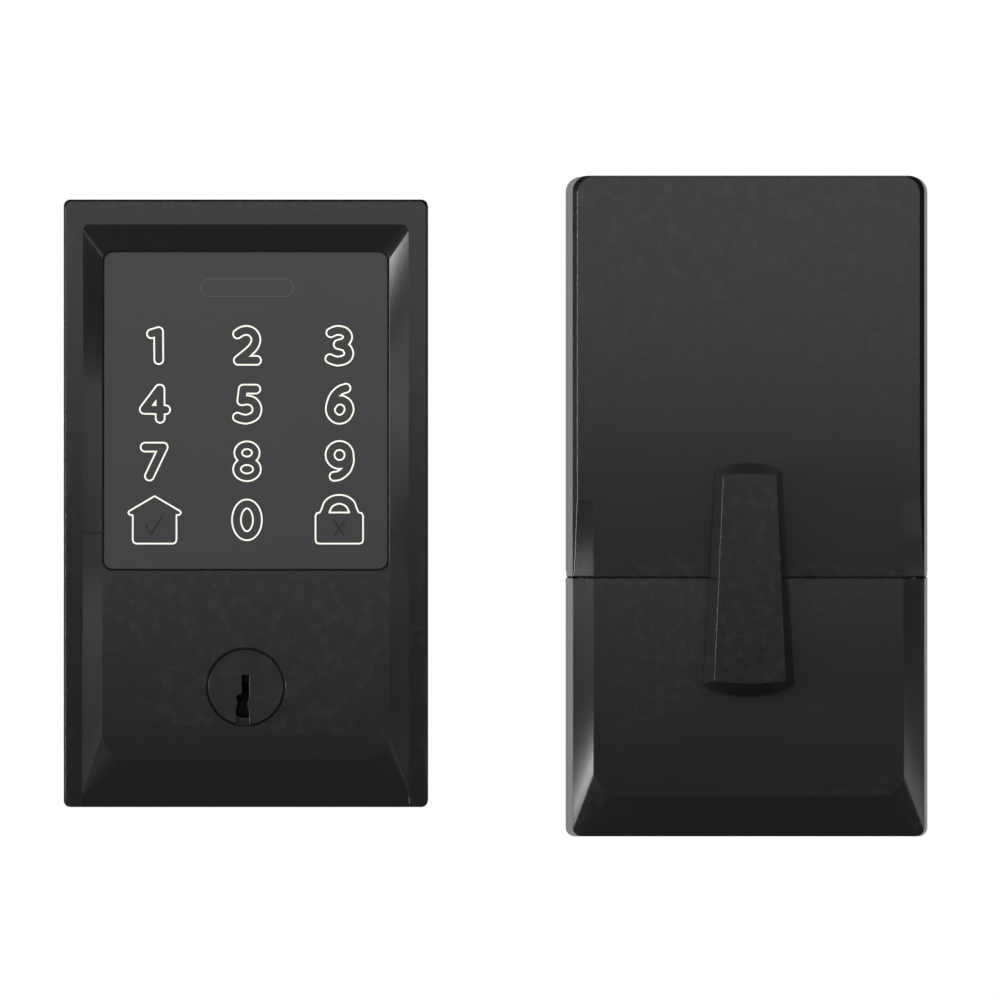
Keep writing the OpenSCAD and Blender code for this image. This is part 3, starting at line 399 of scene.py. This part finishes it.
# Each digit has its column and row, and its strokes in millimetres from its own middle.
GLYPHS = {
    "1": (-1, 0, [[(-0.7, 2.55), (0.8, 3.0), (0.85, -2.9)]]),
    "2": (0, 0, [catmull([(-2.0, 2.5), (-1.15, 3.05), (0, 3.25), (1.15, 2.8), (1.85, 1.6), (1.55, 0.15),
                          (0.45, -1.15), (-1.85, -3.05)]), [(-1.85, -3.05), (2.0, -3.05)]]),
    "3": (1, 0, [catmull([(-1.8, 2.75), (-0.95, 3.15), (0.05, 3.25), (1.2, 2.85), (1.75, 1.85), (1.15, 0.8),
                          (-0.25, 0.3)]),
                 catmull([(-0.25, 0.3), (1.25, -0.2), (2.0, -1.5), (1.45, -2.7), (-0.1, -3.2),
                          (-1.15, -3.05), (-2.0, -2.7)])]),
    "4": (-1, 1, [[(1.0, 3.1), (-2.2, -1.15), (2.3, -1.25)], [(1.1, 3.1), (1.15, -3.05)]]),
    "5": (0, 1, [[(1.85, 3.1), (-0.8, 3.1), (-1.1, 0.65)],
                 catmull([(-1.1, 0.65), (0.25, 0.8), (1.5, 0.25), (2.1, -1.1), (1.6, -2.5), (0.05, -3.2),
                          (-1.15, -3.1), (-2.0, -2.8)])]),
    "6": (1, 1, [catmull([(1.4, 3.3), (0.1, 2.8), (-1.15, 1.5), (-1.85, -0.5), (-1.75, -1.9), (-1.0, -2.9),
                          (0.05, -3.25), (1.25, -2.8), (2.05, -1.4), (1.75, -0.05), (0.9, 0.65),
                          (0.05, 0.8), (-1.0, 0.4), (-1.75, -0.6)])]),
    "7": (-1, 2, [[(-2.0, 3.1), (1.8, 3.1), (-1.1, -3.0)]]),
    "8": (0, 2, [ellipse(0, 1.9, 1.85, 1.6), ellipse(0, -1.55, 2.1, 1.7)]),
    "9": (1, 2, [ellipse(0.05, 1.45, 2.0, 2.0),
                 catmull([(2.05, 1.45), (2.1, 0.05), (1.45, -1.65), (0.1, -2.8), (-1.1, -3.05)])]),
    "0": (0, 3, [ellipse(0, 0, 2.2, 3.35)]),
}
HOUSE = [closed(both_sides([(0, 5.0), (5.35, 1.85), (5.55, 1.45), (5.2, 1.05), (4.6, 1.0), (4.6, -4.15),
                            (4.45, -4.7), (3.95, -5.0)]))]
HOUSE_MARK = [[(-1.75, -1.05), (-0.75, -3.05), (1.6, 0.7)]]
SHACKLE_OUTSIDE = catmull(both_sides([(0, 5.25), (1.75, 4.9), (3.1, 3.85), (3.7, 2.35), (4.1, 1.55)]))
SHACKLE_INSIDE = closed(catmull(both_sides([(0, 3.4), (1.45, 2.8), (2.1, 1.55)])))
PADLOCK_BODY = both_sides([(0, -5.0), (4.3, -5.0), (4.8, -4.8), (5.0, -4.25), (5.0, 0.85), (4.75, 1.4),
                           (4.1, 1.55)])
PADLOCK = [SHACKLE_OUTSIDE, PADLOCK_BODY, SHACKLE_INSIDE]
PADLOCK_MARK = [[(-1.0, -0.35), (1.0, -3.3)], [(1.0, -0.35), (-1.0, -3.3)]]

# The middle column's place right of the key plug, the thinner stroke of the 8, and the half width of
# the marks inside the symbols, in millimetres or as a share.
COLUMN_SHIFT = 0.25
EIGHT_STROKE = 0.86
MARK_HALF = 0.23
HOME_COLUMN, LOCK_COLUMN, SYMBOL_ROW = -1, 1, 3

# The plain sensor mark: its ends, its height above the key plug and its outline, in millimetres.
SENSOR_LEFT, SENSOR_RIGHT, SENSOR_HEIGHT = -7.6, 8.1, 84.1
SENSOR_OUTLINE = (1.75, 1.95)


def placed(strokes, sizes, column, row, window_middle):
    """Strokes moved to a column and a row, in millimetres from the window's middle."""
    x0 = COLUMN_SHIFT + column * sizes.digit_pitch_x / MM
    z0 = (sizes.digit_top - row * sizes.digit_pitch_z) / MM - window_middle
    return [[(x0 + x, z0 + z) for x, z in stroke] for stroke in strokes]


def glyph_bands(sizes, window_middle):
    """Each digit's strokes, with the distances where its outline starts and ends."""
    radius, half = sizes.stroke_radius / MM, sizes.line_half / MM
    bands = []
    for digit, (column, row, strokes) in GLYPHS.items():
        stroke = radius * (EIGHT_STROKE if digit == "8" else 1.0)
        bands.append((placed(strokes, sizes, column, row, window_middle), stroke - half, stroke + half))
    return bands


# ------------------------------------------------------------------ shader groups

def group(name, inputs, outputs):
    """An empty shader node group with float, colour or vector sockets."""
    tree = bpy.data.node_groups.new(name, "ShaderNodeTree")
    kinds = {"f": "NodeSocketFloat", "c": "NodeSocketColor", "v": "NodeSocketVector"}
    for socket, kind, default in inputs:
        item = tree.interface.new_socket(socket, in_out="INPUT", socket_type=kinds[kind])
        if default is not None:
            item.default_value = default
    for socket, kind in outputs:
        tree.interface.new_socket(socket, in_out="OUTPUT", socket_type=kinds[kind])
    return tree, tree.nodes.new("NodeGroupInput"), tree.nodes.new("NodeGroupOutput")


def math_node(tree, operation, first, second=None, clamp=False):
    """A maths node whose inputs are sockets or numbers."""
    node = tree.nodes.new("ShaderNodeMath")
    node.operation = operation
    node.use_clamp = clamp
    for socket, value in zip(node.inputs, (first, second)):
        if value is None:
            continue
        if isinstance(value, (int, float)):
            socket.default_value = value
        else:
            tree.links.new(value, socket)
    return node.outputs[0]


def noise_node(tree, vector, scale, detail=2.0, roughness=0.5, distortion=0.0):
    """A noise texture over a vector."""
    node = tree.nodes.new("ShaderNodeTexNoise")
    tree.links.new(vector, node.inputs["Vector"])
    if isinstance(scale, (int, float)):
        node.inputs["Scale"].default_value = scale
    else:
        tree.links.new(scale, node.inputs["Scale"])
    node.inputs["Detail"].default_value = detail
    node.inputs["Roughness"].default_value = roughness
    node.inputs["Distortion"].default_value = distortion
    return node.outputs["Fac"]


def remap(tree, value, low, high, to_low, to_high):
    """Maps a value's range to another, clamped."""
    node = tree.nodes.new("ShaderNodeMapRange")
    tree.links.new(value, node.inputs["Value"])
    for key, number in (("From Min", low), ("From Max", high), ("To Min", to_low), ("To Max", to_high)):
        if isinstance(number, (int, float)):
            node.inputs[key].default_value = number
        else:
            tree.links.new(number, node.inputs[key])
    return node.outputs["Result"]


def build_grain_group():
    """Fine specks: a height for the bump and a roughness that varies with them."""
    tree, inner, outer = group("fine_grain", [
        ("Vector", "v", None), ("Specks per metre", "f", 4500.0), ("Roughness", "f", 0.4),
        ("Variation", "f", 0.1)], [("Height", "f"), ("Roughness", "f")])
    vector, scale = inner.outputs["Vector"], inner.outputs["Specks per metre"]
    fine = noise_node(tree, vector, scale, 2.0, 0.55)
    broad = noise_node(tree, vector, math_node(tree, "MULTIPLY", scale, 0.012), 3.0, 0.5)
    swing = math_node(tree, "SUBTRACT", broad, 0.5)
    spread = math_node(tree, "MULTIPLY", swing, inner.outputs["Variation"])
    rough = math_node(tree, "ADD", inner.outputs["Roughness"], spread, clamp=True)
    tree.links.new(fine, outer.inputs["Height"])
    tree.links.new(rough, outer.inputs["Roughness"])
    return tree


def build_wear_group():
    """A mask of rubbed edges, broken up by noise."""
    tree, inner, outer = group("edge_wear", [
        ("Vector", "v", None), ("Amount", "f", 0.3), ("Scale", "f", 300.0)], [("Mask", "f")])
    pointed = tree.nodes.new("ShaderNodeNewGeometry").outputs["Pointiness"]
    sharp = remap(tree, pointed, 0.505, 0.56, 0.0, 1.0)
    broken = noise_node(tree, inner.outputs["Vector"], inner.outputs["Scale"], 4.0, 0.6)
    patchy = remap(tree, broken, 0.45, 0.65, 0.0, 1.0)
    rubbed = math_node(tree, "MULTIPLY", sharp, patchy)
    mask = math_node(tree, "MULTIPLY", rubbed, inner.outputs["Amount"], True)
    tree.links.new(mask, outer.inputs["Mask"])
    return tree


def build_brushed_group():
    """Fine lines along one direction."""
    tree, inner, outer = group("brushed_lines", [
        ("Vector", "v", None), ("Stretch", "v", (400.0, 400.0, 12000.0)), ("Roughness", "f", 0.3),
        ("Variation", "f", 0.15)], [("Height", "f"), ("Roughness", "f")])
    stretch = tree.nodes.new("ShaderNodeVectorMath")
    stretch.operation = "MULTIPLY"
    tree.links.new(inner.outputs["Vector"], stretch.inputs[0])
    tree.links.new(inner.outputs["Stretch"], stretch.inputs[1])
    lines = noise_node(tree, stretch.outputs["Vector"], 1.0, 3.0, 0.6)
    swing = math_node(tree, "SUBTRACT", lines, 0.5)
    spread = math_node(tree, "MULTIPLY", swing, inner.outputs["Variation"])
    rough = math_node(tree, "ADD", inner.outputs["Roughness"], spread, True)
    tree.links.new(lines, outer.inputs["Height"])
    tree.links.new(rough, outer.inputs["Roughness"])
    return tree


def build_dust_group():
    """A thin uneven veil of dust, thicker on faces that look up."""
    tree, inner, outer = group("settled_dust", [
        ("Vector", "v", None), ("Amount", "f", 0.1)], [("Mask", "f")])
    normal = tree.nodes.new("ShaderNodeNewGeometry").outputs["Normal"]
    parts = tree.nodes.new("ShaderNodeSeparateXYZ")
    tree.links.new(normal, parts.inputs[0])
    up = remap(tree, parts.outputs["Z"], 0.2, 1.0, 0.12, 1.0)
    cloud = noise_node(tree, inner.outputs["Vector"], 90.0, 5.0, 0.65)
    veil = remap(tree, cloud, 0.4, 0.75, 0.0, 1.0)
    mask = math_node(tree, "MULTIPLY", math_node(tree, "MULTIPLY", up, veil), inner.outputs["Amount"], True)
    tree.links.new(mask, outer.inputs["Mask"])
    return tree


GROUPS = {}


def shared_group(name):
    """The shared shader group of that name, built the first time it is asked for."""
    makers = {"fine_grain": build_grain_group, "edge_wear": build_wear_group,
              "brushed_lines": build_brushed_group, "settled_dust": build_dust_group}
    if name not in GROUPS:
        GROUPS[name] = makers[name]()
    return GROUPS[name]


def place_group(tree, name, vector, **values):
    """Puts a shared group in a material and sets its own values."""
    node = tree.nodes.new("ShaderNodeGroup")
    node.node_tree = shared_group(name)
    tree.links.new(vector, node.inputs["Vector"])
    for key, value in values.items():
        node.inputs[key.replace("_", " ").capitalize()].default_value = value
    return node


def start_material(name, metallic=0.0, roughness=0.5, specular=0.5):
    """A new material with its Principled shader and object coordinates."""
    material = bpy.data.materials.new(name)
    material.use_nodes = True
    tree = material.node_tree
    shader = tree.nodes["Principled BSDF"]
    shader.inputs["Metallic"].default_value = metallic
    shader.inputs["Roughness"].default_value = roughness
    shader.inputs["Specular IOR Level"].default_value = specular
    coords = tree.nodes.new("ShaderNodeTexCoord").outputs["Object"]
    return material, tree, shader, coords


def mix_colour(tree, factor, first, second):
    """Mixes two colours, each a socket or a plain colour."""
    node = tree.nodes.new("ShaderNodeMix")
    node.data_type = "RGBA"
    tree.links.new(factor, node.inputs["Factor"])
    for key, value in (("A", first), ("B", second)):
        socket = [s for s in node.inputs if s.name == key and s.type == "RGBA"][0]
        if isinstance(value, bpy.types.NodeSocket):
            tree.links.new(value, socket)
        else:
            socket.default_value = (*value[:3], 1.0)
    return [s for s in node.outputs if s.type == "RGBA"][0]


def add_bump(tree, shader, height, strength, distance, edge_round=None):
    """Feeds a height to the shader's normal, over rounded edges if asked."""
    bump = tree.nodes.new("ShaderNodeBump")
    bump.inputs["Strength"].default_value = strength
    bump.inputs["Distance"].default_value = distance
    tree.links.new(height, bump.inputs["Height"])
    if edge_round:
        bevel = tree.nodes.new("ShaderNodeBevel")
        bevel.samples = 6
        bevel.inputs["Radius"].default_value = edge_round
        tree.links.new(bevel.outputs["Normal"], bump.inputs["Normal"])
    tree.links.new(bump.outputs["Normal"], shader.inputs["Normal"])


def shade(colour, by):
    """A colour made darker or brighter by a factor."""
    return tuple(min(c * by, 1) for c in colour)


def lighten(colour, by):
    """A colour moved towards white."""
    return tuple(c + (1 - c) * by for c in colour)


def coat_material(sizes, colours, name="satin_black_coat", roughness=0.22):
    """Satin powder coat: fine specks, faint wear on the edges and a little dust."""
    material, tree, shader, coords = start_material(name, 0.0, roughness, 0.5)
    grain = place_group(tree, "fine_grain", coords, specks_per_metre=1 / sizes.grain,
                        roughness=roughness, variation=0.02)
    wear = place_group(tree, "edge_wear", coords, amount=0.2, scale=420.0)
    dust = place_group(tree, "settled_dust", coords, amount=0.012)
    coat = tuple(colours.coat)
    mottle = noise_node(tree, coords, 60.0, 3.0)
    base = mix_colour(tree, mottle, shade(coat, 0.96), shade(coat, 1.04))
    worn = mix_colour(tree, wear.outputs["Mask"], base, lighten(coat, 0.05))
    dusty = mix_colour(tree, dust.outputs["Mask"], worn, (0.25, 0.24, 0.22))
    tree.links.new(dusty, shader.inputs["Base Color"])
    tree.links.new(grain.outputs["Roughness"], shader.inputs["Roughness"])
    add_bump(tree, shader, grain.outputs["Height"], 0.10, 0.00002, sizes.edge_round)
    return material


def window_material(sizes, colours):
    """Dark window: smooth, with the faintest unevenness and smudges."""
    material, tree, shader, coords = start_material("touch_window", 0.0, 0.3, 0.5)
    smudge = noise_node(tree, coords, 45.0, 4.0, 0.6)
    base = mix_colour(tree, smudge, shade(colours.window, 0.96), shade(colours.window, 1.04))
    tree.links.new(base, shader.inputs["Base Color"])
    tree.links.new(remap(tree, smudge, 0.3, 0.7, 0.36, 0.42), shader.inputs["Roughness"])
    add_bump(tree, shader, noise_node(tree, coords, 25.0, 1.0), 0.02, 0.0002, sizes.edge_round)
    return material


def ink_material(name, colour, painted_glow):
    """Printed ink; a glow above zero adds emission, painted light that makes the ink brighter than the lamps
    alone.
    """
    material, tree, shader, coords = start_material(name, 0.0, 0.5, 0.3)
    speckle = noise_node(tree, coords, 3000.0, 2.0)
    ink = mix_colour(tree, speckle, shade(colour, 0.96), shade(colour, 1.03))
    tree.links.new(ink, shader.inputs["Base Color"])
    if painted_glow:
        tree.links.new(ink, shader.inputs["Emission Color"])
        shader.inputs["Emission Strength"].default_value = painted_glow
    return material


def metal_material(name, colour, roughness, stretch):
    """Bare metal with fine working lines."""
    material, tree, shader, coords = start_material(name, 1.0, roughness, 0.5)
    lines = place_group(tree, "brushed_lines", coords, stretch=stretch, roughness=roughness, variation=0.18)
    wear = place_group(tree, "edge_wear", coords, amount=0.5, scale=600.0)
    tarnish = noise_node(tree, coords, 120.0, 4.0, 0.6)
    base = mix_colour(tree, tarnish, shade(colour, 0.88), colour)
    bright = mix_colour(tree, wear.outputs["Mask"], base, lighten(colour, 0.25))
    tree.links.new(bright, shader.inputs["Base Color"])
    tree.links.new(lines.outputs["Roughness"], shader.inputs["Roughness"])
    add_bump(tree, shader, lines.outputs["Height"], 0.08, 0.00002, 0.00012)
    return material


def plastic_material(name, colour, roughness, specks=2500.0, bump=0.08):
    """Moulded plastic or rubber with a fine spark-eroded texture."""
    material, tree, shader, coords = start_material(name, 0.0, roughness, 0.45)
    grain = place_group(tree, "fine_grain", coords, specks_per_metre=specks,
                        roughness=roughness, variation=0.12)
    flow = noise_node(tree, coords, 70.0, 3.0)
    base = mix_colour(tree, flow, shade(colour, 0.9), shade(colour, 1.06))
    tree.links.new(base, shader.inputs["Base Color"])
    tree.links.new(grain.outputs["Roughness"], shader.inputs["Roughness"])
    add_bump(tree, shader, grain.outputs["Height"], bump, 0.00003, 0.00015)
    return material


def board_material(colours):
    """Green solder mask over copper tracks, drawn as lighter green bricks and lines."""
    material, tree, shader, coords = start_material("circuit_board", 0.0, 0.32, 0.5)
    bricks = tree.nodes.new("ShaderNodeTexBrick")
    swing = tree.nodes.new("ShaderNodeMapping")
    swing.inputs["Rotation"].default_value = (math.radians(90), 0, 0)
    tree.links.new(coords, swing.inputs["Vector"])
    tree.links.new(swing.outputs["Vector"], bricks.inputs["Vector"])
    bricks.inputs["Scale"].default_value = 260.0
    bricks.inputs["Mortar Size"].default_value = 0.06
    bricks.inputs["Bias"].default_value = -0.3
    cells = tree.nodes.new("ShaderNodeTexVoronoi")
    cells.feature = "DISTANCE_TO_EDGE"
    cells.inputs["Scale"].default_value = 420.0
    tree.links.new(coords, cells.inputs["Vector"])
    green = tuple(colours.board)
    tracks = mix_colour(tree, bricks.outputs["Fac"], shade(green, 1.6), green)
    lines = remap(tree, cells.outputs["Distance"], 0.02, 0.05, 1.0, 0.0)
    masked = mix_colour(tree, lines, tracks, shade(green, 2.1))
    tree.links.new(masked, shader.inputs["Base Color"])
    add_bump(tree, shader, lines, 0.15, 0.00003, 0.00012)
    return material


def wrap_material(colours):
    """Film wrap with a darker band at one end and bare metal at both tips."""
    material, tree, shader, coords = start_material("battery_film", 0.0, 0.28, 0.5)
    parts = tree.nodes.new("ShaderNodeSeparateXYZ")
    tree.links.new(coords, parts.inputs[0])
    low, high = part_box("batteries")
    height = parts.outputs["Z"]
    tip = math_node(tree, "ADD", math_node(tree, "LESS_THAN", height, low.z + 0.0016),
                    math_node(tree, "GREATER_THAN", height, high.z - 0.0016), True)
    band = math_node(tree, "GREATER_THAN", height, high.z - 0.014)
    colour = tuple(colours.wrap)
    film = mix_colour(tree, band, colour, (0.012, 0.012, 0.014))
    tree.links.new(mix_colour(tree, tip, film, (0.62, 0.62, 0.63)), shader.inputs["Base Color"])
    tree.links.new(tip, shader.inputs["Metallic"])
    scuffs = noise_node(tree, coords, 500.0, 4.0, 0.6)
    tree.links.new(remap(tree, scuffs, 0.3, 0.7, 0.22, 0.36), shader.inputs["Roughness"])
    add_bump(tree, shader, scuffs, 0.05, 0.00003, 0.0002)
    return material


MATERIALS = {}


def make_materials(context):
    """Every finish, by the record's slot or by its own name."""
    sizes, colours = context.scene.lock_sizes, context.scene.lock_colours
    MATERIALS.update({
        "black_metal": coat_material(sizes, colours),
        "lens_glass": window_material(sizes, colours),
        "rubber": plastic_material("soft_rubber", (0.016, 0.016, 0.016), 0.75, 1800.0, 0.12),
        "black_plastic": plastic_material("black_moulding", (0.022, 0.022, 0.024), 0.5),
        "white_plastic": plastic_material("natural_moulding", (0.72, 0.72, 0.70), 0.42),
        "board": board_material(colours),
        "steel": metal_material("plated_steel", tuple(colours.steel), 0.3, (500.0, 500.0, 9000.0)),
        "brass": metal_material("turned_brass", tuple(colours.brass), 0.26, (900.0, 12000.0, 900.0)),
        # Dark finish of the plug face; it also goes on the brass pins and cylinder body inside the keyway,
        # painted shade that keeps the keyway black.
        "dark_plated": coat_material(sizes, colours, "dark_plate_and_painted_shade", 0.3),
        "battery_wrap": wrap_material(colours),
        # The digits' ink gets emission: painted light, though the window is not lit from behind.
        "legend": ink_material("legend_ink", tuple(colours.legend), 0.55),
        "faint": ink_material("faint_ink", tuple(colours.faint), 0.0),
        "sensor_line": ink_material("sensor_ink", tuple(colours.sensor_line), 0.0),
    })


# ------------------------------------------------------------------ operators

# Each softbox has its name, its bearing and height, its width and height, the setting that holds its
# power, and its share of that power. All angles are in degrees as seen from the lock.
SOFTBOXES = (
    ("left_side", (-62, -2), (15, 20), "left_power", 1.0),
    ("high_left", (-30, 7), (18, 10), "high_power", 1.0),
    ("low_left", (-17, -8), (8.5, 8.5), "low_power", 1.0),
    ("low_middle", (9, -8), (8.5, 8.5), "low_power", 1 / 3),
    ("low_right", (37, -8), (36, 8.5), "low_power", 1.0),
    ("right_side", (62, -8), (15, 8.5), "right_power", 1.0),
)

# Places and sizes of the three panels, and of the floor, in metres.
FRONT_HEIGHT, FRONT_DISTANCE, FRONT_SIZE = 0.16, 0.6, (0.5, 0.2)
FLOOR_LIGHT_HEIGHT, FLOOR_LIGHT_SIZE = 1.5, (0.6, 0.6)
WALL_DISTANCE, WALL_SIZE = 0.9, (2.2, 1.4)
FLOOR_RADIUS, FLOOR_FORWARD, FLOOR_DROP = 0.9, 0.62, 0.075


class LOCK_OT_stage(Operator):
    """Camera, lights, room and floor"""
    bl_idname = "lock.stage"
    bl_label = "Build stage"

    def execute(self, context):
        scene = context.scene
        studio = scene.lock_studio
        face_y = INTERIOR_LOW.y
        camera_data = bpy.data.cameras.new("camera")
        camera_data.lens = camera_data.sensor_width * (studio.camera_distance + face_y) / studio.view_width
        camera_data.clip_start = 0.05
        camera_data.clip_end = 20
        camera = bpy.data.objects.new("camera", camera_data)
        camera.location = (studio.view_x, -studio.camera_distance, studio.view_z)
        camera.rotation_euler = (math.radians(90), 0, 0)
        scene.collection.objects.link(camera)
        scene.camera = camera
        scene.view_settings.view_transform = "Standard"
        self.add_floor(scene)
        self.add_world(scene, studio)
        for name, place, spread, power, share in SOFTBOXES:
            self.add_softbox(scene, name, place, spread, getattr(studio, power) * share)
        self.add_panels(scene, studio)
        return {"FINISHED"}

    def add_floor(self, scene):
        """A round pale floor under the lock."""
        low = CAD_BOX[0]
        mesh = bpy.data.meshes.new("floor")
        bm = bmesh.new()
        bmesh.ops.create_circle(bm, cap_ends=True, radius=FLOOR_RADIUS, segments=96)
        bm.to_mesh(mesh)
        bm.free()
        material, tree, shader, coords = start_material("pale_floor", 0.0, 0.7, 0.2)
        colour = tuple(scene.lock_colours.floor)
        cloud = noise_node(tree, coords, 30.0, 4.0)
        base = mix_colour(tree, cloud, shade(colour, 0.985), colour)
        tree.links.new(base, shader.inputs["Base Color"])
        mesh.materials.append(material)
        floor = bpy.data.objects.new("floor", mesh)
        floor.location = (scene.lock_studio.view_x, -FLOOR_FORWARD, low[2] - FLOOR_DROP)
        scene.collection.objects.link(floor)

    def add_world(self, scene, studio):
        """White behind the lock, and a dim room for everything it reflects."""
        world = bpy.data.worlds.new("room")
        world.use_nodes = True
        tree = world.node_tree
        sky = tree.nodes["Background"]
        path = tree.nodes.new("ShaderNodeLightPath")
        strength = remap(tree, path.outputs["Is Camera Ray"], 0.0, 1.0, studio.room, 1.0)
        sky.inputs["Color"].default_value = (1, 1, 1, 1)
        tree.links.new(strength, sky.inputs["Strength"])
        scene.world = world

    def add_panels(self, scene, studio):
        """A near panel before the upper half, a light over the floor and a lit wall behind."""
        front = Vector((studio.view_x, 0, FRONT_HEIGHT))
        before = front - Vector((0, FRONT_DISTANCE, 0))
        self.add_light(scene, "front_panel", before, front, FRONT_SIZE, studio.front_power)
        above = Vector((studio.view_x, -FRONT_DISTANCE, FLOOR_LIGHT_HEIGHT))
        below = above - Vector((0, 0, 1))
        self.add_light(scene, "floor_light", above, below, FLOOR_LIGHT_SIZE, studio.floor_power)
        behind = Vector((studio.view_x, WALL_DISTANCE, studio.view_z))
        forwards = behind - Vector((0, 1, 0))
        self.add_light(scene, "lit_wall", behind, forwards, WALL_SIZE, studio.back_power)

    def add_softbox(self, scene, name, place, spread, power):
        """A rectangular softbox that looks at the lock.

        place is its bearing from the camera's axis and its height above it, and spread its width
        and height, all in degrees as seen from the lock.
        """
        studio = scene.lock_studio
        centre = Vector((studio.view_x, 0, studio.view_z))
        turn, lift = math.radians(place[0]), math.radians(place[1])
        level = math.cos(lift)
        towards = Vector((level * math.sin(turn), -level * math.cos(turn), math.sin(lift)))
        size = [studio.light_distance * math.radians(angle) for angle in spread]
        self.add_light(scene, name, centre + towards * studio.light_distance, centre, size, power)

    def add_light(self, scene, name, place, aim, size, power):
        """A rectangular area light that the camera doesn't see."""
        data = bpy.data.lights.new(name, "AREA")
        data.shape = "RECTANGLE"
        data.size, data.size_y = size
        data.energy = power
        light = bpy.data.objects.new(name, data)
        light.location = place
        light.rotation_euler = (aim - place).to_track_quat("-Z", "Y").to_euler()
        light.visible_camera = False
        scene.collection.objects.link(light)


class LOCK_OT_materials(Operator):
    """Makes every finish and puts it on the CAD nodes"""
    bl_idname = "lock.materials"
    bl_label = "Make finishes"

    def execute(self, context):
        make_materials(context)
        for name, node in frame["nodes"].items():
            finish = MATERIALS[SLOT_OF[name]]
            if node.material_slots:
                for slot in node.material_slots:
                    slot.material = finish
            else:
                node.data.materials.append(finish)
        return {"FINISHED"}


class LOCK_OT_castings(Operator):
    """The two housings, the battery cover and the turn in satin black"""
    bl_idname = "lock.castings"
    bl_label = "Build castings"

    def execute(self, context):
        coat = MATERIALS["black_metal"]
        refine("exterior_housing", "keypad_escutcheon", coat)
        refine("interior_housing", "inside_housing", coat)
        refine("battery_cover", "battery_lid", coat)
        refine("thumbturn", "turn_lever", coat)
        return {"FINISHED"}


class LOCK_OT_key_plug(Operator):
    """The key plug with its keyway"""
    bl_idname = "lock.key_plug"
    bl_label = "Build key plug"

    def execute(self, context):
        refine("key_plug", "plug_face", MATERIALS["dark_plated"])
        return {"FINISHED"}


class LOCK_OT_legends(Operator):
    """Hollow digits, the two symbols and the plain sensor mark on the touch window"""
    bl_idname = "lock.legends"
    bl_label = "Build window legends"

    def execute(self, context):
        sizes = context.scene.lock_sizes
        refine("touchscreen_lens", "touch_window", MATERIALS["lens_glass"])
        point, normal = front_plane("touchscreen_lens")
        up = Vector((0, -normal.z, normal.y)) * (-1 if normal.y > 0 else 1)
        if up.z < 0:
            up = -up
        middle = point.z / MM

        def place(x, z, lift=sizes.print_lift):
            return Vector((x * MM, point.y, point.z)) + up * (z * MM) + normal * lift

        half = sizes.line_half / MM
        bands = glyph_bands(sizes, middle)
        marks = []
        for symbol, mark, column in ((HOUSE, HOUSE_MARK, HOME_COLUMN), (PADLOCK, PADLOCK_MARK, LOCK_COLUMN)):
            bands.append((placed(symbol, sizes, column, SYMBOL_ROW, middle), 0, half))
            marks.append((placed(mark, sizes, column, SYMBOL_ROW, middle), 0, MARK_HALF))
        sensor_z = SENSOR_HEIGHT - middle
        sensor = [([[(SENSOR_LEFT, sensor_z), (SENSOR_RIGHT, sensor_z)]], *SENSOR_OUTLINE)]
        for name, group_bands, finish in (("digits_print", bands, "legend"), ("lit_marks", marks, "faint"),
                                          ("sensor_mark", sensor, "sensor_line")):
            mesh = printed_mesh(name, group_bands, place, MATERIALS[finish])
            if not mesh.polygons:
                raise RuntimeError(f"{name} came out empty")
            add_object(name, mesh, body_of_node("touchscreen_lens"))
        return {"FINISHED"}


class LOCK_PT_panel(Panel):
    """Lists the lock's operators and settings"""
    bl_idname = "LOCK_PT_panel"
    bl_label = "Keypad lock"
    bl_space_type = "VIEW_3D"
    bl_region_type = "UI"
    bl_category = "Lock"

    def draw(self, context):
        layout = self.layout
        for operator in OPERATORS:
            layout.operator(operator.bl_idname)
        for settings in (context.scene.lock_sizes, context.scene.lock_colours, context.scene.lock_studio):
            box = layout.box()
            for key in settings.__annotations__:
                box.prop(settings, key)


OPERATORS = (LOCK_OT_stage, LOCK_OT_materials, LOCK_OT_castings, LOCK_OT_key_plug, LOCK_OT_legends)
SETTINGS = (LockSizes, LockColours, StudioSettings)


def register():
    """Registers the settings, the operators and the panel."""
    for cls in SETTINGS + OPERATORS + (LOCK_PT_panel,):
        bpy.utils.register_class(cls)
    bpy.types.Scene.lock_sizes = PointerProperty(type=LockSizes)
    bpy.types.Scene.lock_colours = PointerProperty(type=LockColours)
    bpy.types.Scene.lock_studio = PointerProperty(type=StudioSettings)


def unregister():
    """Takes everything away again."""
    del bpy.types.Scene.lock_studio
    del bpy.types.Scene.lock_colours
    del bpy.types.Scene.lock_sizes
    for cls in reversed(SETTINGS + OPERATORS + (LOCK_PT_panel,)):
        bpy.utils.unregister_class(cls)


def main():
    """Builds everything in order."""
    register()
    bpy.ops.lock.stage()
    bpy.ops.lock.materials()
    bpy.ops.lock.castings()
    bpy.ops.lock.key_plug()
    bpy.ops.lock.legends()


if __name__ == "__main__":
    main()
